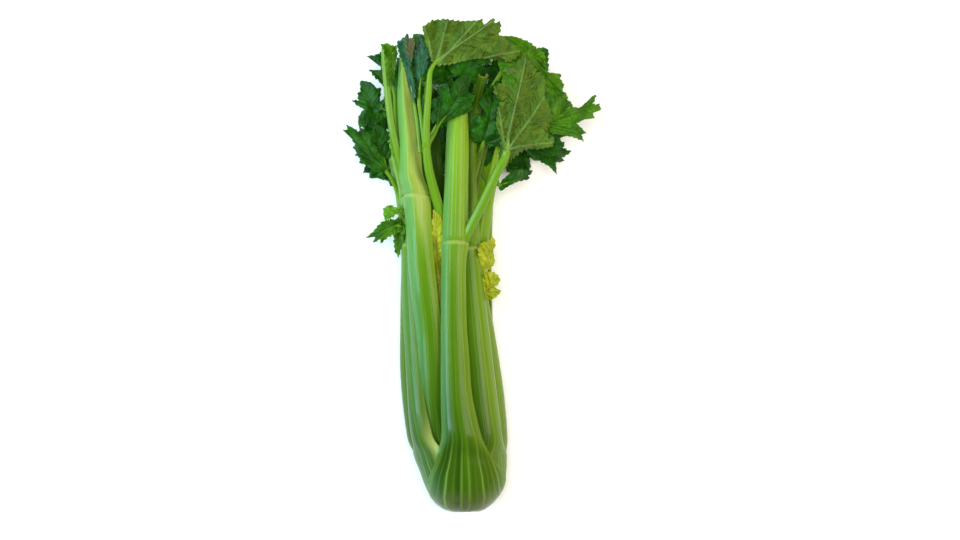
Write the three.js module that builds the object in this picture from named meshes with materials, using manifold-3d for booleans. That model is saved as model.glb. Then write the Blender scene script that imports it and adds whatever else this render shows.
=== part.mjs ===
// A head of celery lying on its back: a cut root end, its outer, inner and heart stalks, and the leaves that
// they carry.
//
// Millimetres. +Y runs from the cut root end to the leaf tips, +X is to the right and +Z is up from the
// surface that it lies on. Every stalk and leaf is drawn along a route of a few points. Where one piece
// grows from another, as a stalk from the root end or a leaf from a stalk, it is trimmed clear of it.
import * as THREE from 'three';
import { mergeVertices } from 'three/addons/utils/BufferGeometryUtils.js';
import Module from 'manifold-3d';

const wasm = await Module();
wasm.setup();

// Driving dimensions
const GAP = 0.4; // clear space that a trimmed piece keeps from its neighbour
const STALK_DEPTH = 0.37; // a stalk's thickness over its width
const STALK_STEPS = 11;
const BLADE_THICKNESS = 1.4;
const BLADE_STEPS = 8; // from the foot of a leaf blade to its tip
const STEM_SIDES = 6;
const STEM_STEPS = 4;
const STEM_TAPER = 0.6; // a leaf stem's diameter at the blade over its diameter at the stalk
const STEM_UNDER_BLADE = 0.25; // how far a leaf stem runs on under its blade, over the blade's length
const MESH_TOLERANCE = 0.01;

const ROOT_AXIS = { x: 4, z: 41 };
const ROOT_SIDES = 24;
const ROOT_SHOULDER = 11; // height of the widest ring above the cut

// The root end's outline, its radius at each height above the cut: flat at the cut, domed inside the head
const ROOT_OUTLINE = [[0, 0], [14, 0], [21.5, 4.4], [25, ROOT_SHOULDER], [17.5, 19.5], [0, 26]];

// The section of a stalk, across its width and depth: the outer face is crowned, with a flat along its
// crest, and the inner face is a shallow channel.
const STALK_SECTION = [
  [-0.5, -0.42], [-0.38, 0.16], [-0.13, 0.5], [0.13, 0.5],
  [0.38, 0.16], [0.5, -0.42], [0.2, -0.16], [-0.2, -0.16],
];

// Half the width of a blade at even steps from its foot to its tip, over its greatest half width: two pairs
// of side lobes and the end lobe
const BLADE_OUTLINE = [0.16, 0.78, 1, 0.62, 0.86, 0.5, 0.6, 0.36, 0.05];

// One row for each point of a stalk's route: x, y, z, the width there, and the way its outer face looks,
// as an angle in degrees from straight up towards +X.
const STALKS = {
  stalk_front_middle: [
    [4, 9, 56, 44, 0], [2, 24, 69, 40, 0], [0, 42, 77, 34, 0], [-1, 62, 80, 30, 0],
    [-3, 100, 80, 25, 0], [-5, 155, 77, 21, 0], [-5, 200, 75, 20, 0], [-4, 221, 74, 21, 0],
    [-3, 262, 72, 19, 0], [-2, 305, 70, 18, 0], [-1, 345, 67, 13, 0],
  ],
  stalk_front_right: [
    [20, 9, 52, 26, 52], [26, 24, 60, 28, 50], [27, 42, 65, 30, 46], [25, 60, 67, 31, 42],
    [21, 92, 68, 30, 40], [15, 150, 66, 25, 36], [12, 180, 64, 22, 34], [9, 215, 61, 19, 30],
    [9, 226, 60, 18, 25], [9, 260, 60, 11, 15], [9, 300, 60, 10, 10], [14, 340, 63, 9, 0],
    [18, 355, 68, 9, 0],
  ],
  stalk_left: [
    [-12, 9, 52, 26, -54], [-20, 25, 60, 28, -54], [-26, 42, 62, 28, -56], [-32, 60, 62, 28, -60],
    [-37, 92, 60, 26, -66], [-40, 130, 54, 24, -72], [-43, 175, 50, 22, -74], [-44, 215, 48, 20, -74],
    [-45, 228, 48, 19, -74], [-51, 265, 48, 14, -70], [-60, 304, 48, 10, -60],
  ],
  stalk_front_left: [
    [-4, 16, 50, 20, -25], [-12, 38, 59, 21, -25], [-19, 60, 63, 23, -25], [-23, 92, 66, 23, -22],
    [-26, 145, 69, 23, -20], [-30, 180, 71, 23, -18], [-34, 225, 71, 22, -14], [-37, 259, 70, 22, -10],
    [-41, 275, 69, 20, -8], [-42, 300, 68, 18, -8], [-45, 335, 69, 13, -8], [-47, 376, 71, 4, -8],
  ],
  stalk_side_right: [
    [25, 10, 39, 24, 92], [32, 26, 36, 28, 92], [33, 45, 34, 30, 94], [33, 62, 33, 30, 94],
    [30, 100, 32, 28, 94], [23, 150, 33, 24, 92], [18, 180, 35, 22, 90], [18, 212, 40, 20, 84],
    [20, 224, 43, 19, 80], [26, 262, 48, 14, 70], [36, 305, 50, 10, 55],
  ],
  stalk_side_left: [
    [-16, 10, 38, 24, -96], [-24, 26, 34, 28, -98], [-32, 45, 31, 29, -100], [-38, 62, 30, 29, -100],
    [-44, 110, 25, 26, -98], [-44.5, 165, 24, 24, -98], [-44, 205, 23, 22, -98], [-44, 220, 23, 21, -98],
    [-49, 255, 22, 16, -100], [-58, 300, 20, 11, -110],
  ],
  stalk_back_right: [
    [12, 10, 24, 26, 170], [14, 24, 13, 29, 176], [16, 42, 6.5, 29, 180], [16, 62, 4.8, 27, 180],
    [15, 110, 4.6, 26, 180], [14, 160, 4.5, 25, 180], [14, 205, 4.4, 23, 180], [15, 220, 4.6, 22, 180],
    [20, 260, 7, 16, 176], [30, 305, 12, 11, 165],
  ],
  stalk_back_left: [
    [-6, 10, 24, 26, -172], [-12, 24, 13, 29, -178], [-17, 42, 6.5, 29, -180], [-19, 62, 4.8, 27, -180],
    [-20, 110, 4.6, 26, -180], [-21, 160, 4.5, 25, -180], [-22, 205, 4.4, 23, -180],
    [-23, 220, 4.6, 22, -180], [-28, 260, 7, 16, -180], [-36, 305, 11, 11, -168],
  ],
  stalk_inner_right: [
    [6, 26, 48, 16, 35], [9, 60, 54, 19, 35], [7, 110, 54, 18, 30], [4, 165, 50, 17, 25],
    [2, 215, 47, 16, 20], [6, 260, 47, 12, 15], [18, 305, 49, 9, 10], [26, 335, 54, 7, 0],
  ],
  stalk_inner_left: [
    [-8, 26, 42, 16, -88], [-19, 60, 44, 19, -84], [-25, 110, 45, 18, -80], [-27, 165, 48, 17, -72],
    [-28, 215, 50, 16, -50], [-28, 260, 51, 12, -30], [-29, 305, 54, 9, -15], [-27, 340, 60, 7, 0],
  ],
  stalk_inner_back_right: [
    [10, 28, 32, 16, 135], [15, 60, 25, 19, 140], [12, 110, 22, 19, 145], [8, 165, 20, 18, 150],
    [6, 215, 21, 16, 150], [10, 260, 26, 12, 150], [22, 305, 31, 9, 140], [34, 340, 36, 7, 120],
  ],
  stalk_inner_back_left: [
    [-2, 28, 32, 16, -150], [-12, 60, 25, 19, -150], [-16, 110, 22, 19, -150], [-17, 165, 21, 18, -150],
    [-18, 215, 22, 16, -150], [-18, 260, 26, 12, -150], [-22, 305, 31, 9, -150],
    [-24, 345, 36, 7, -150],
  ],
  heart_stalk_left: [
    [0, 29, 42, 9, -60], [-7, 60, 45, 11, -60], [-12, 110, 50, 11, -50], [-15, 160, 55, 9, -40],
    [-17, 200, 60, 6, -30],
  ],
  heart_stalk_right: [
    [5, 29, 40, 9, 70], [4, 60, 41, 11, 70], [6, 110, 42, 11, 70], [12, 155, 45, 9, 60],
    [21, 190, 51, 6, 50],
  ],
  heart_stalk_middle: [
    [3, 29, 37, 8, 180], [-2, 60, 35, 10, 180], [-5, 110, 34, 10, 180], [-6, 165, 35, 8, 180],
    [-8, 215, 37, 5, 180],
  ],
};

// One entry for each leaf: the route of its stem and then of its blade's midrib, the point at which the
// blade begins, the blade's greatest width, the way that the blade's upper side looks, and the stem's
// diameter where it leaves the stalk.
const LEAVES = {
  leaf_right_broad: {
    route: [[4, 221, 74], [18, 250, 79], [31, 278, 83], [38, 293, 84], [43, 330, 88], [52, 364, 86]],
    bladeAt: 3, width: 58, up: [0.1, 0, -1], stem: 7,
  },
  leaf_far_right: {
    route: [[33, 280, 80], [46, 300, 76], [66, 314, 76], [88, 324, 77], [113, 331, 70]],
    bladeAt: 2, width: 40, up: [0.2, 0, 1], stem: 5,
  },
  leaf_top: {
    route: [
      [-14, 225, 66], [-22, 262, 72], [-27, 297, 79], [-25, 340, 84], [-21, 362, 87], [2, 376, 92],
      [28, 376, 93], [49, 371, 90],
    ],
    bladeAt: 4, width: 38, up: [0, 0.1, -1], stem: 7,
  },
  leaf_top_right: {
    route: [[22, 338, 66], [38, 362, 71], [54, 372, 74], [74, 352, 73], [90, 328, 70]],
    bladeAt: 2, width: 40, up: [0.15, 0.1, 0.9], stem: 4,
  },
  leaf_centre: {
    route: [[-26, 298, 76], [-20, 308, 75], [-14, 318, 76], [0, 333, 80], [9, 354, 78]],
    bladeAt: 1, width: 34, up: [0, -0.1, 1], stem: 4,
  },
  leaf_upper_left_inner: {
    route: [[-28, 296, 80], [-31, 318, 79], [-33, 335, 80], [-31, 358, 82], [-31, 384, 80]],
    bladeAt: 2, width: 22, up: [-0.9, 0, 0.7], stem: 4,
  },
  leaf_upper_left_outer: {
    route: [[-32, 292, 75], [-34, 312, 77], [-37, 332, 78], [-42, 362, 79], [-43, 386, 77]],
    bladeAt: 2, width: 20, up: [-0.7, 0, 0.8], stem: 3.5,
  },
  leaf_left_tip: {
    route: [
      [-51, 262, 60], [-54, 300, 63], [-59, 345, 66], [-61, 376, 68], [-55, 372, 71],
      [-53, 345, 71],
    ],
    bladeAt: 4, width: 14, up: [0.3, 0, 1], stem: 7,
  },
  leaf_left_shoulder: {
    route: [[-50, 296, 58], [-52, 320, 56], [-54, 344, 55], [-64, 358, 55], [-76, 368, 52]],
    bladeAt: 2, width: 30, up: [0, 0, 1], stem: 4,
  },
  leaf_left_small: {
    route: [[-54, 290, 54], [-56, 305, 56], [-58, 322, 56], [-65, 328, 55], [-69, 312, 52]],
    bladeAt: 2, width: 16, up: [-0.4, 0, 0.9], stem: 3,
  },
  leaf_left_broad: {
    route: [[-47, 250, 50], [-54, 268, 52], [-60, 277, 53], [-76, 294, 54], [-95, 313, 48]],
    bladeAt: 2, width: 32, up: [0.2, 0.1, 1], stem: 4,
  },
  leaf_left_pale: {
    route: [[-45, 238, 56], [-50, 243, 60], [-63, 245, 58]],
    bladeAt: 1, width: 14, up: [0, 0.3, 1], stem: 3,
  },
  leaf_left_low: {
    route: [[-45, 228, 52], [-50, 233, 56], [-62, 230, 54], [-77, 222, 48]],
    bladeAt: 1, width: 20, up: [0, 0.2, 1], stem: 3.5,
  },
  leaf_left_curl: {
    route: [[-45, 240, 55], [-51, 236, 53], [-52, 222, 50], [-50, 207, 44]],
    bladeAt: 1, width: 14, up: [-0.6, 0, 0.8], stem: 3,
  },
  leaf_right_low: {
    route: [[34, 296, 54], [46, 302, 60], [58, 298, 64], [74, 293, 66], [90, 291, 60]],
    bladeAt: 1, width: 30, up: [0, 0, 1], stem: 4,
  },
  leaf_right_narrow: {
    route: [[29, 270, 50], [33, 266, 52], [46, 272, 52], [59, 277, 47]],
    bladeAt: 1, width: 16, up: [-0.2, -0.6, 0.8], stem: 4,
  },
  heart_leaf_left: {
    route: [[-16, 186, 58], [-18, 205, 62], [-19, 230, 66], [-19, 252, 66]],
    bladeAt: 0, width: 18, up: [-0.1, 0, 1], stem: 4,
  },
  heart_leaf_right_upper: {
    route: [[19, 188, 50], [21, 197, 54], [24, 210, 56], [27, 224, 55]],
    bladeAt: 1, width: 18, up: [0.4, 0, 0.9], stem: 4,
  },
  heart_leaf_right_lower: {
    route: [[14, 166, 46], [19, 176, 51], [25, 183, 54], [33, 184, 53]],
    bladeAt: 1, width: 18, up: [0.1, 0.1, 1], stem: 3,
  },
  heart_leaf_middle: {
    route: [[-8, 212, 37], [-8, 228, 38], [-6, 248, 40], [-4, 266, 42]],
    bladeAt: 0, width: 16, up: [0, 0, 1], stem: 4,
  },
  leaf_middle_tip: {
    route: [[-1, 340, 68], [2, 352, 70], [12, 368, 76], [24, 380, 74]],
    bladeAt: 1, width: 34, up: [0.2, -0.2, 1], stem: 7,
  },
  leaf_inner_right_tip: {
    route: [[25, 330, 54], [32, 344, 58], [48, 358, 64], [64, 372, 66]],
    bladeAt: 1, width: 44, up: [0, 0, 1], stem: 5,
  },
  leaf_inner_right_inside: {
    route: [[14, 288, 52], [19, 300, 64], [26, 322, 70], [30, 350, 70]],
    bladeAt: 1, width: 34, up: [0, 0, 1], stem: 4,
  },
  leaf_inner_right_outside: {
    route: [[22, 312, 50], [40, 320, 50], [62, 332, 54], [84, 346, 52]],
    bladeAt: 1, width: 42, up: [0.1, 0, 1], stem: 4,
  },
  leaf_inner_left_tip: {
    route: [[-27, 336, 60], [-26, 350, 62], [-18, 368, 64], [-8, 388, 62]],
    bladeAt: 1, width: 36, up: [0, 0, 1], stem: 5,
  },
  leaf_inner_left_inside: {
    route: [[-27, 300, 56], [-18, 316, 60], [-10, 336, 64], [-8, 352, 64]],
    bladeAt: 1, width: 26, up: [0, 0, 1], stem: 4,
  },
  leaf_inner_left_outside: {
    route: [[-30, 310, 52], [-42, 326, 46], [-52, 346, 44], [-58, 372, 40]],
    bladeAt: 1, width: 32, up: [-0.2, 0, 1], stem: 4,
  },
  leaf_side_right_tip: {
    route: [[36, 302, 50], [50, 312, 44], [72, 314, 40], [94, 308, 34]],
    bladeAt: 1, width: 38, up: [0.3, 0, 1], stem: 5,
  },
  leaf_side_left_tip: {
    route: [[-58, 298, 20], [-62, 312, 24], [-72, 332, 28], [-82, 352, 24]],
    bladeAt: 1, width: 36, up: [-0.3, 0, 1], stem: 5,
  },
  leaf_side_left_branch: {
    route: [[-50, 262, 22], [-60, 278, 28], [-72, 292, 32], [-88, 298, 26]],
    bladeAt: 1, width: 32, up: [-0.3, 0, 1], stem: 4,
  },
  leaf_inner_back_right_tip: {
    route: [[33, 336, 36], [42, 348, 36], [56, 362, 34], [72, 378, 26]],
    bladeAt: 1, width: 42, up: [0.3, 0.2, 1], stem: 5,
  },
  leaf_inner_back_right_inside: {
    route: [[24, 310, 32], [16, 328, 38], [10, 348, 44], [6, 374, 46]],
    bladeAt: 1, width: 36, up: [0, 0, 1], stem: 4,
  },
  leaf_inner_back_left_tip: {
    route: [[-24, 342, 36], [-26, 356, 38], [-32, 374, 38], [-38, 390, 32]],
    bladeAt: 1, width: 40, up: [-0.2, 0.1, 1], stem: 5,
  },
  leaf_inner_back_left_inside: {
    route: [[-22, 308, 32], [-14, 326, 36], [-6, 342, 34], [4, 360, 28]],
    bladeAt: 1, width: 30, up: [0, 0, 1], stem: 4,
  },
  leaf_back_right_tip: {
    route: [[30, 302, 12], [38, 318, 13], [50, 340, 12], [62, 364, 4]],
    bladeAt: 1, width: 44, up: [0.1, 0, 1], stem: 5,
  },
  leaf_back_right_branch: {
    route: [[22, 268, 9], [36, 284, 14], [54, 296, 12], [76, 304, 4]],
    bladeAt: 1, width: 36, up: [0.1, 0, 1], stem: 5,
  },
  leaf_back_right_inside: {
    route: [[22, 270, 11], [15, 284, 16], [14, 310, 18], [18, 346, 12]],
    bladeAt: 1, width: 34, up: [0, 0, 1], stem: 4,
  },
  leaf_back_left_tip: {
    route: [[-36, 302, 11], [-40, 320, 13], [-44, 344, 12], [-52, 372, 4]],
    bladeAt: 1, width: 44, up: [0, 0, 1], stem: 5,
  },
  leaf_back_left_branch: {
    route: [[-30, 266, 9], [-44, 276, 10], [-62, 290, 9], [-82, 304, 3]],
    bladeAt: 1, width: 34, up: [-0.1, 0, 1], stem: 5,
  },
  leaf_back_left_inside: {
    route: [[-30, 268, 11], [-22, 280, 16], [-16, 306, 20], [-14, 342, 16]],
    bladeAt: 1, width: 32, up: [0, 0, 1], stem: 4,
  },
};

const skin = new THREE.MeshStandardMaterial({ color: '#7a9c3a', roughness: 0.38 });
const rootFlesh = new THREE.MeshStandardMaterial({ color: '#c9c79a', roughness: 0.6 });
const heartSkin = new THREE.MeshStandardMaterial({ color: '#b9c35a', roughness: 0.42 });
const leafGreen = new THREE.MeshStandardMaterial({ color: '#2f6a1c', roughness: 0.5 });
const heartLeafYellow = new THREE.MeshStandardMaterial({ color: '#c2c845', roughness: 0.55 });

// Turns a closed geometry into a manifold solid.
function solidOf(geometry) {
  geometry.deleteAttribute('normal');
  geometry.deleteAttribute('uv');
  const merged = mergeVertices(geometry, 1e-4);
  return new wasm.Manifold(new wasm.Mesh({
    numProp: 3,
    vertProperties: merged.attributes.position.array,
    triVerts: new Uint32Array(merged.index.array),
  }));
}

// Turns a solid back into a geometry for a mesh.
function geometryOf(solid) {
  const mesh = solid.getMesh();
  const positions = new Float32Array(mesh.numVert * 3);
  for (let i = 0; i < mesh.numVert; i += 1) {
    positions.set(mesh.vertProperties.subarray(i * mesh.numProp, i * mesh.numProp + 3), i * 3);
  }
  const geometry = new THREE.BufferGeometry();
  geometry.setAttribute('position', new THREE.BufferAttribute(positions, 3));
  geometry.setIndex(new THREE.BufferAttribute(mesh.triVerts, 1));
  return geometry;
}

// The smooth curve through a route's points. Point i lies at i / (number of points - 1) along it.
function curveThrough(route) {
  const points = route.map(([x, y, z]) => new THREE.Vector3(x, y, z));
  return new THREE.CatmullRomCurve3(points, false, 'catmullrom', 0.5);
}

// A value given at each point of a route, read in a straight line between points.
function between(values, u) {
  const place = u * (values.length - 1);
  const i = Math.min(Math.floor(place), values.length - 2);
  return THREE.MathUtils.lerp(values[i], values[i + 1], place - i);
}

// Moves the vertices of a straight geometry so that it follows a curve. `place` reads how far along a vertex
// is, how far across and how far up. The frame's up stays nearest to `up`, and both ends run on by `grow`.
function bend(geometry, curve, place, up, grow) {
  const positions = geometry.attributes.position;
  const vertex = new THREE.Vector3();
  for (let i = 0; i < positions.count; i += 1) {
    vertex.fromBufferAttribute(positions, i);
    const { u, across, height } = place(vertex);
    const along = curve.getTangent(u);
    const upward = up(u).clone().addScaledVector(along, -up(u).dot(along)).normalize();
    const side = new THREE.Vector3().crossVectors(along, upward);
    const moved = curve.getPoint(u).addScaledVector(side, across).addScaledVector(upward, height);
    moved.addScaledVector(along, grow * (Number(u === 1) - Number(u === 0)));
    positions.setXYZ(i, moved.x, moved.y, moved.z);
  }
  return geometry;
}

// A stalk: its section carried along its route, turned so that the outer face looks the way each row says.
function stalkSolid(rows, grow) {
  const section = new THREE.Shape(STALK_SECTION.map(([x, y]) => new THREE.Vector2(-x, y)));
  const straight = new THREE.ExtrudeGeometry(section, {
    depth: 1, steps: STALK_STEPS, bevelEnabled: false,
  });
  const widths = rows.map((row) => row[3]);
  const faces = rows.map((row) => row[4]);
  const outward = (u) => {
    const angle = THREE.MathUtils.degToRad(between(faces, u));
    return new THREE.Vector3(Math.sin(angle), 0, Math.cos(angle));
  };
  const place = ({ x, y, z }) => ({
    u: z,
    across: -x * (between(widths, z) + 2 * grow),
    height: y * (between(widths, z) * STALK_DEPTH + 2 * grow),
  });
  return solidOf(bend(straight, curveThrough(rows), place, outward, grow));
}

// A leaf: a thin lobed blade, joined to the round stem that runs up to it and on under its foot.
function leafSolid({ route, bladeAt, width, up, stem }, grow) {
  const curve = curveThrough(route);
  const foot = bladeAt / (route.length - 1);
  const upper = () => new THREE.Vector3(...up);

  const blade = new THREE.BoxGeometry(1, 1, 1, 2, BLADE_STEPS, 1);
  const onBlade = ({ x, y, z }) => {
    const along = y + 0.5;
    return {
      u: foot + along * (1 - foot),
      across: x * (width * between(BLADE_OUTLINE, along) + 2 * grow),
      height: z * (BLADE_THICKNESS + 2 * grow),
    };
  };
  const bladeSolid = solidOf(bend(blade, curve, onBlade, upper, grow));

  const stemEnd = foot + STEM_UNDER_BLADE * (1 - foot);
  const rod = new THREE.CylinderGeometry(1, 1, 1, STEM_SIDES, STEM_STEPS);
  const onRod = ({ x, y, z }) => {
    const along = y + 0.5;
    const radius = (stem / 2) * THREE.MathUtils.lerp(1, STEM_TAPER, along) + grow;
    return { u: along * stemEnd, across: x * radius, height: z * radius };
  };
  return bladeSolid.add(solidOf(bend(rod, curve, onRod, upper, grow)));
}

// The root end: the solid plate that the stalks grow from.
function rootSolid(grow) {
  const outline = ROOT_OUTLINE.map(([radius, y]) => {
    const outward = radius > 0 ? grow : 0;
    return new THREE.Vector2(radius + outward, y + grow * Math.sign(y - ROOT_SHOULDER));
  });
  const lathe = new THREE.LatheGeometry(outline, ROOT_SIDES);
  lathe.translate(ROOT_AXIS.x, 0, ROOT_AXIS.z);
  return solidOf(lathe);
}

// The largest body of a solid, which is all that is left of it once what trimming cut loose is dropped.
function largestBody(solid) {
  return solid.decompose().reduce((most, body) => (body.volume() > most.volume() ? body : most));
}

function boxOf(solid) {
  const { min, max } = solid.boundingBox();
  return new THREE.Box3(new THREE.Vector3(...min), new THREE.Vector3(...max));
}

// Lays a piece down. The surface at z = 0 flattens whatever is pressed against it, and the piece is
// trimmed clear of those laid down before it, each grown by the gap.
const laid = [];
function layDown(shape) {
  const whole = shape(0).trimByPlane([0, 0, 1], 0);
  const box = boxOf(whole);
  const near = laid.filter((other) => other.box.intersectsBox(box));
  const trimmed = near.reduce((solid, other) => solid.subtract(other.grown), whole);
  const grown = shape(GAP);
  laid.push({ grown, box: boxOf(grown) });
  return geometryOf(largestBody(largestBody(trimmed).simplify(MESH_TOLERANCE)));
}

const celery = new THREE.Group();
function addPiece(name, material, shape) {
  const mesh = new THREE.Mesh(layDown(shape), material.clone());
  mesh.name = name;
  celery.add(mesh);
}

addPiece('root_end', rootFlesh, rootSolid);
for (const [name, rows] of Object.entries(STALKS)) {
  addPiece(name, name.startsWith('heart') ? heartSkin : skin, (grow) => stalkSolid(rows, grow));
}
for (const [name, leaf] of Object.entries(LEAVES)) {
  addPiece(name, name.startsWith('heart') ? heartLeafYellow : leafGreen, (grow) => leafSolid(leaf, grow));
}

// The origin is on the surface, under the middle of the head.
const extent = new THREE.Box3().setFromObject(celery);
const middle = extent.getCenter(new THREE.Vector3());
celery.position.set(-middle.x, -middle.y, -extent.min.z);

export default celery;
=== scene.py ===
"""A head of celery lying on its back on a pale floor.

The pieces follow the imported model: each stalk is a ribbed skin carried along the stalk's route, each leaf is a
lobed blade of two skins on a ribbed stem, and the root end is a turned plate with its pale cut. Tables are in
millimetres in the part's own axes, +Y towards the leaf tips and +Z up, measured from the cut root end.
"""

import bpy
import numpy as np
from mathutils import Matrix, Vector


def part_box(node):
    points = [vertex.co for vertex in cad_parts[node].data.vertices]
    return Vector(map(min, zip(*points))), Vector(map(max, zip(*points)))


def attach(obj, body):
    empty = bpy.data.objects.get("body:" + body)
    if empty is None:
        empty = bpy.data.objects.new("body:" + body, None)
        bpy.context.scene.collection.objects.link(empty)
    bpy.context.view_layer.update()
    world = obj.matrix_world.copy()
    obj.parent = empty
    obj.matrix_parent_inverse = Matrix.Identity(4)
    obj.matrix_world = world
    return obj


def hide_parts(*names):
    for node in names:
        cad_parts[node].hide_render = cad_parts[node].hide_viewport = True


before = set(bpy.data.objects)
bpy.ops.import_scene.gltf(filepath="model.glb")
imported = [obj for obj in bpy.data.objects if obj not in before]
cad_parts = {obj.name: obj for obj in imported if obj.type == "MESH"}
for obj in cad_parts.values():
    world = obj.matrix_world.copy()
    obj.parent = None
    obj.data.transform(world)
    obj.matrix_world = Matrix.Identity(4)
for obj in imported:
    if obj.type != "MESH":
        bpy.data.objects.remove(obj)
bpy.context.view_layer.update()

# The root end's centre in the tables' own axes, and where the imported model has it
ROOT_CENTRE = np.array([4.0, 0.0, 41.0])
root_low, root_high = (np.array(corner) * 1000 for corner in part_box("root_end"))
root_middle = (root_low + root_high) / 2
TO_FRAME = np.array([root_middle[0], root_low[1], root_middle[2]]) - ROOT_CENTRE
FLOOR_CLEARANCE = 0.15  # what is pressed against the floor is flat, this far above it


# ---------------------------------------------------------------- shapes

def through(values, u):
    """Uniform Catmull-Rom curve through evenly spaced rows, read at each u from 0 to 1.

    Between rows p1 and p2 at share t: half of 2 p1 + (p2 - p0) t + (2 p0 - 5 p1 + 4 p2 - p3) t^2
    + (3 p1 - p0 - 3 p2 + p3) t^3. The rows before the first and after the last carry on in a straight line.
    """
    rows = np.asarray(values, float).reshape(len(values), -1)
    padded = np.vstack([2 * rows[0] - rows[1], rows, 2 * rows[-1] - rows[-2]])
    place = np.asarray(u, float) * (len(rows) - 1)
    first = np.clip(place.astype(int), 0, len(rows) - 2)
    t = (place - first)[:, None]
    p0, p1, p2, p3 = (padded[first + k] for k in range(4))
    curve = 2 * p1 + (p2 - p0) * t + (2 * p0 - 5 * p1 + 4 * p2 - p3) * t**2 + (3 * p1 - p0 - 3 * p2 + p3) * t**3
    return curve / 2


def unit(vectors):
    """Each row over its own length."""
    return vectors / np.maximum(np.linalg.norm(vectors, axis=-1, keepdims=True), 1e-9)


def smooth(low, high, value):
    """0 below low, 1 above high, and 3 t^2 - 2 t^3 between them."""
    t = np.clip((value - low) / (high - low), 0, 1)
    return t * t * (3 - 2 * t)


def bell(value, centre, width):
    """exp(-((value - centre) / width)^2)."""
    return np.exp(-(((value - centre) / width) ** 2))


def ring_quads(rings, around):
    """Quads between neighbouring rings of points that close on themselves, as rows of four indices."""
    i, j = np.meshgrid(np.arange(rings - 1), np.arange(around), indexing="ij")
    here = i * around + j
    beside = i * around + (j + 1) % around
    return np.stack([here, beside, beside + around, here + around], axis=-1).reshape(-1, 4)


def closed_tube(points):
    """The points and outward faces of a closed skin over rings of points, with a fan over each end.

    A fan runs round the middle of its ring. The signed volume, a sixth of the sum of a . (b x c) over the
    triangles, is negative where the faces look inwards, and then each face is turned over.
    """
    rings, around = points.shape[:2]
    j = np.arange(around)
    k = (j + 1) % around
    first = rings * around
    quads = ring_quads(rings, around)
    bottom = np.stack([np.full(around, first), k, j], axis=1)
    top = np.stack([np.full(around, first + 1), first - around + j, first - around + k], axis=1)
    flat = np.vstack([points.reshape(-1, 3), points[0].mean(axis=0), points[-1].mean(axis=0)])
    a, b, c = (flat[np.concatenate([quads[:, 0], quads[:, 0], bottom[:, 0], top[:, 0]])],
               flat[np.concatenate([quads[:, 1], quads[:, 2], bottom[:, 1], top[:, 1]])],
               flat[np.concatenate([quads[:, 2], quads[:, 3], bottom[:, 2], top[:, 2]])])
    faces = [quads, bottom, top]
    if (a * np.cross(b, c)).sum() < 0:
        faces = [block[:, ::-1] for block in faces]
    return flat, faces


def with_ends(values, shape, at_first=0, at_last=0):
    """A value for each point of a closed tube: spread over its rings, then one for the middle of each end."""
    return np.concatenate([np.broadcast_to(values, shape).ravel(), [at_first, at_last]])


def add_piece(name, points_mm, faces, material, node, slot, attributes):
    """A mesh object from points in the tables' axes, ridden on the root body in place of its CAD node."""
    placed = points_mm + TO_FRAME
    placed[:, 2] = np.maximum(placed[:, 2], FLOOR_CLEARANCE)
    mesh = bpy.data.meshes.new(name)
    mesh.from_pydata((placed / 1000).tolist(), [], [face for block in faces for face in block.tolist()])
    for key, values in attributes.items():
        mesh.attributes.new(key, "FLOAT", "POINT").data.foreach_set("value", np.asarray(values, np.float32).ravel())
    mesh.polygons.foreach_set("use_smooth", np.ones(len(mesh.polygons), bool))
    mesh.materials.append(material)
    mesh.update()
    piece = bpy.data.objects.new(name, mesh)
    bpy.context.scene.collection.objects.link(piece)
    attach(piece, "root")
    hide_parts(node)


# ---------------------------------------------------------------- materials

STALK_LENGTH = 380  # over which a stalk's colour runs from its foot's to its rib's, in mm
LEAF_UNDERSIDE_ROUGHNESS = 0.62


def linear(hex_colour):
    """An sRGB hex colour as linear red, green and blue, and an alpha of 1."""
    channels = np.array([int(hex_colour[i:i + 2], 16) for i in (1, 3, 5)]) / 255
    values = np.where(channels <= 0.04045, channels / 12.92, ((channels + 0.055) / 1.055) ** 2.4)
    return (*values.tolist(), 1.0)


def add_node(tree, kind, settings, output=0):
    """Adds a node and gives back one of its outputs.

    Each setting is a property of the node, or else a socket by its name or number, which is linked to another
    node's output or takes a number, a vector or a hex colour.
    """
    node = tree.nodes.new(kind)
    for key, value in settings.items():
        if isinstance(key, str) and hasattr(node, key):
            setattr(node, key, value)
        elif isinstance(value, bpy.types.NodeSocket):
            tree.links.new(value, node.inputs[key])
        else:
            node.inputs[key].default_value = linear(value) if isinstance(value, str) else value
    return node.outputs[output]


def new_skin(name, roughness, specular, coat=0.0, coat_roughness=0.3, softness=0.0):
    """A material, its node tree and its Principled shader, with the IOR and light depth of damp plant flesh."""
    material = bpy.data.materials.new(name)
    material.use_nodes = True
    shader = material.node_tree.nodes["Principled BSDF"]
    for socket, value in (("Roughness", roughness), ("Specular IOR Level", specular), ("IOR", 1.42),
                          ("Coat Weight", coat), ("Coat Roughness", coat_roughness),
                          ("Subsurface Weight", softness), ("Subsurface Radius", (0.6, 1.0, 0.25)),
                          ("Subsurface Scale", 0.0025)):
        shader.inputs[socket].default_value = value
    return material, material.node_tree, shader


def feed(tree, shader, sources):
    """Links each of the shader's named sockets to the output that feeds it."""
    for socket, source in sources.items():
        tree.links.new(source, shader.inputs[socket])


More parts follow.
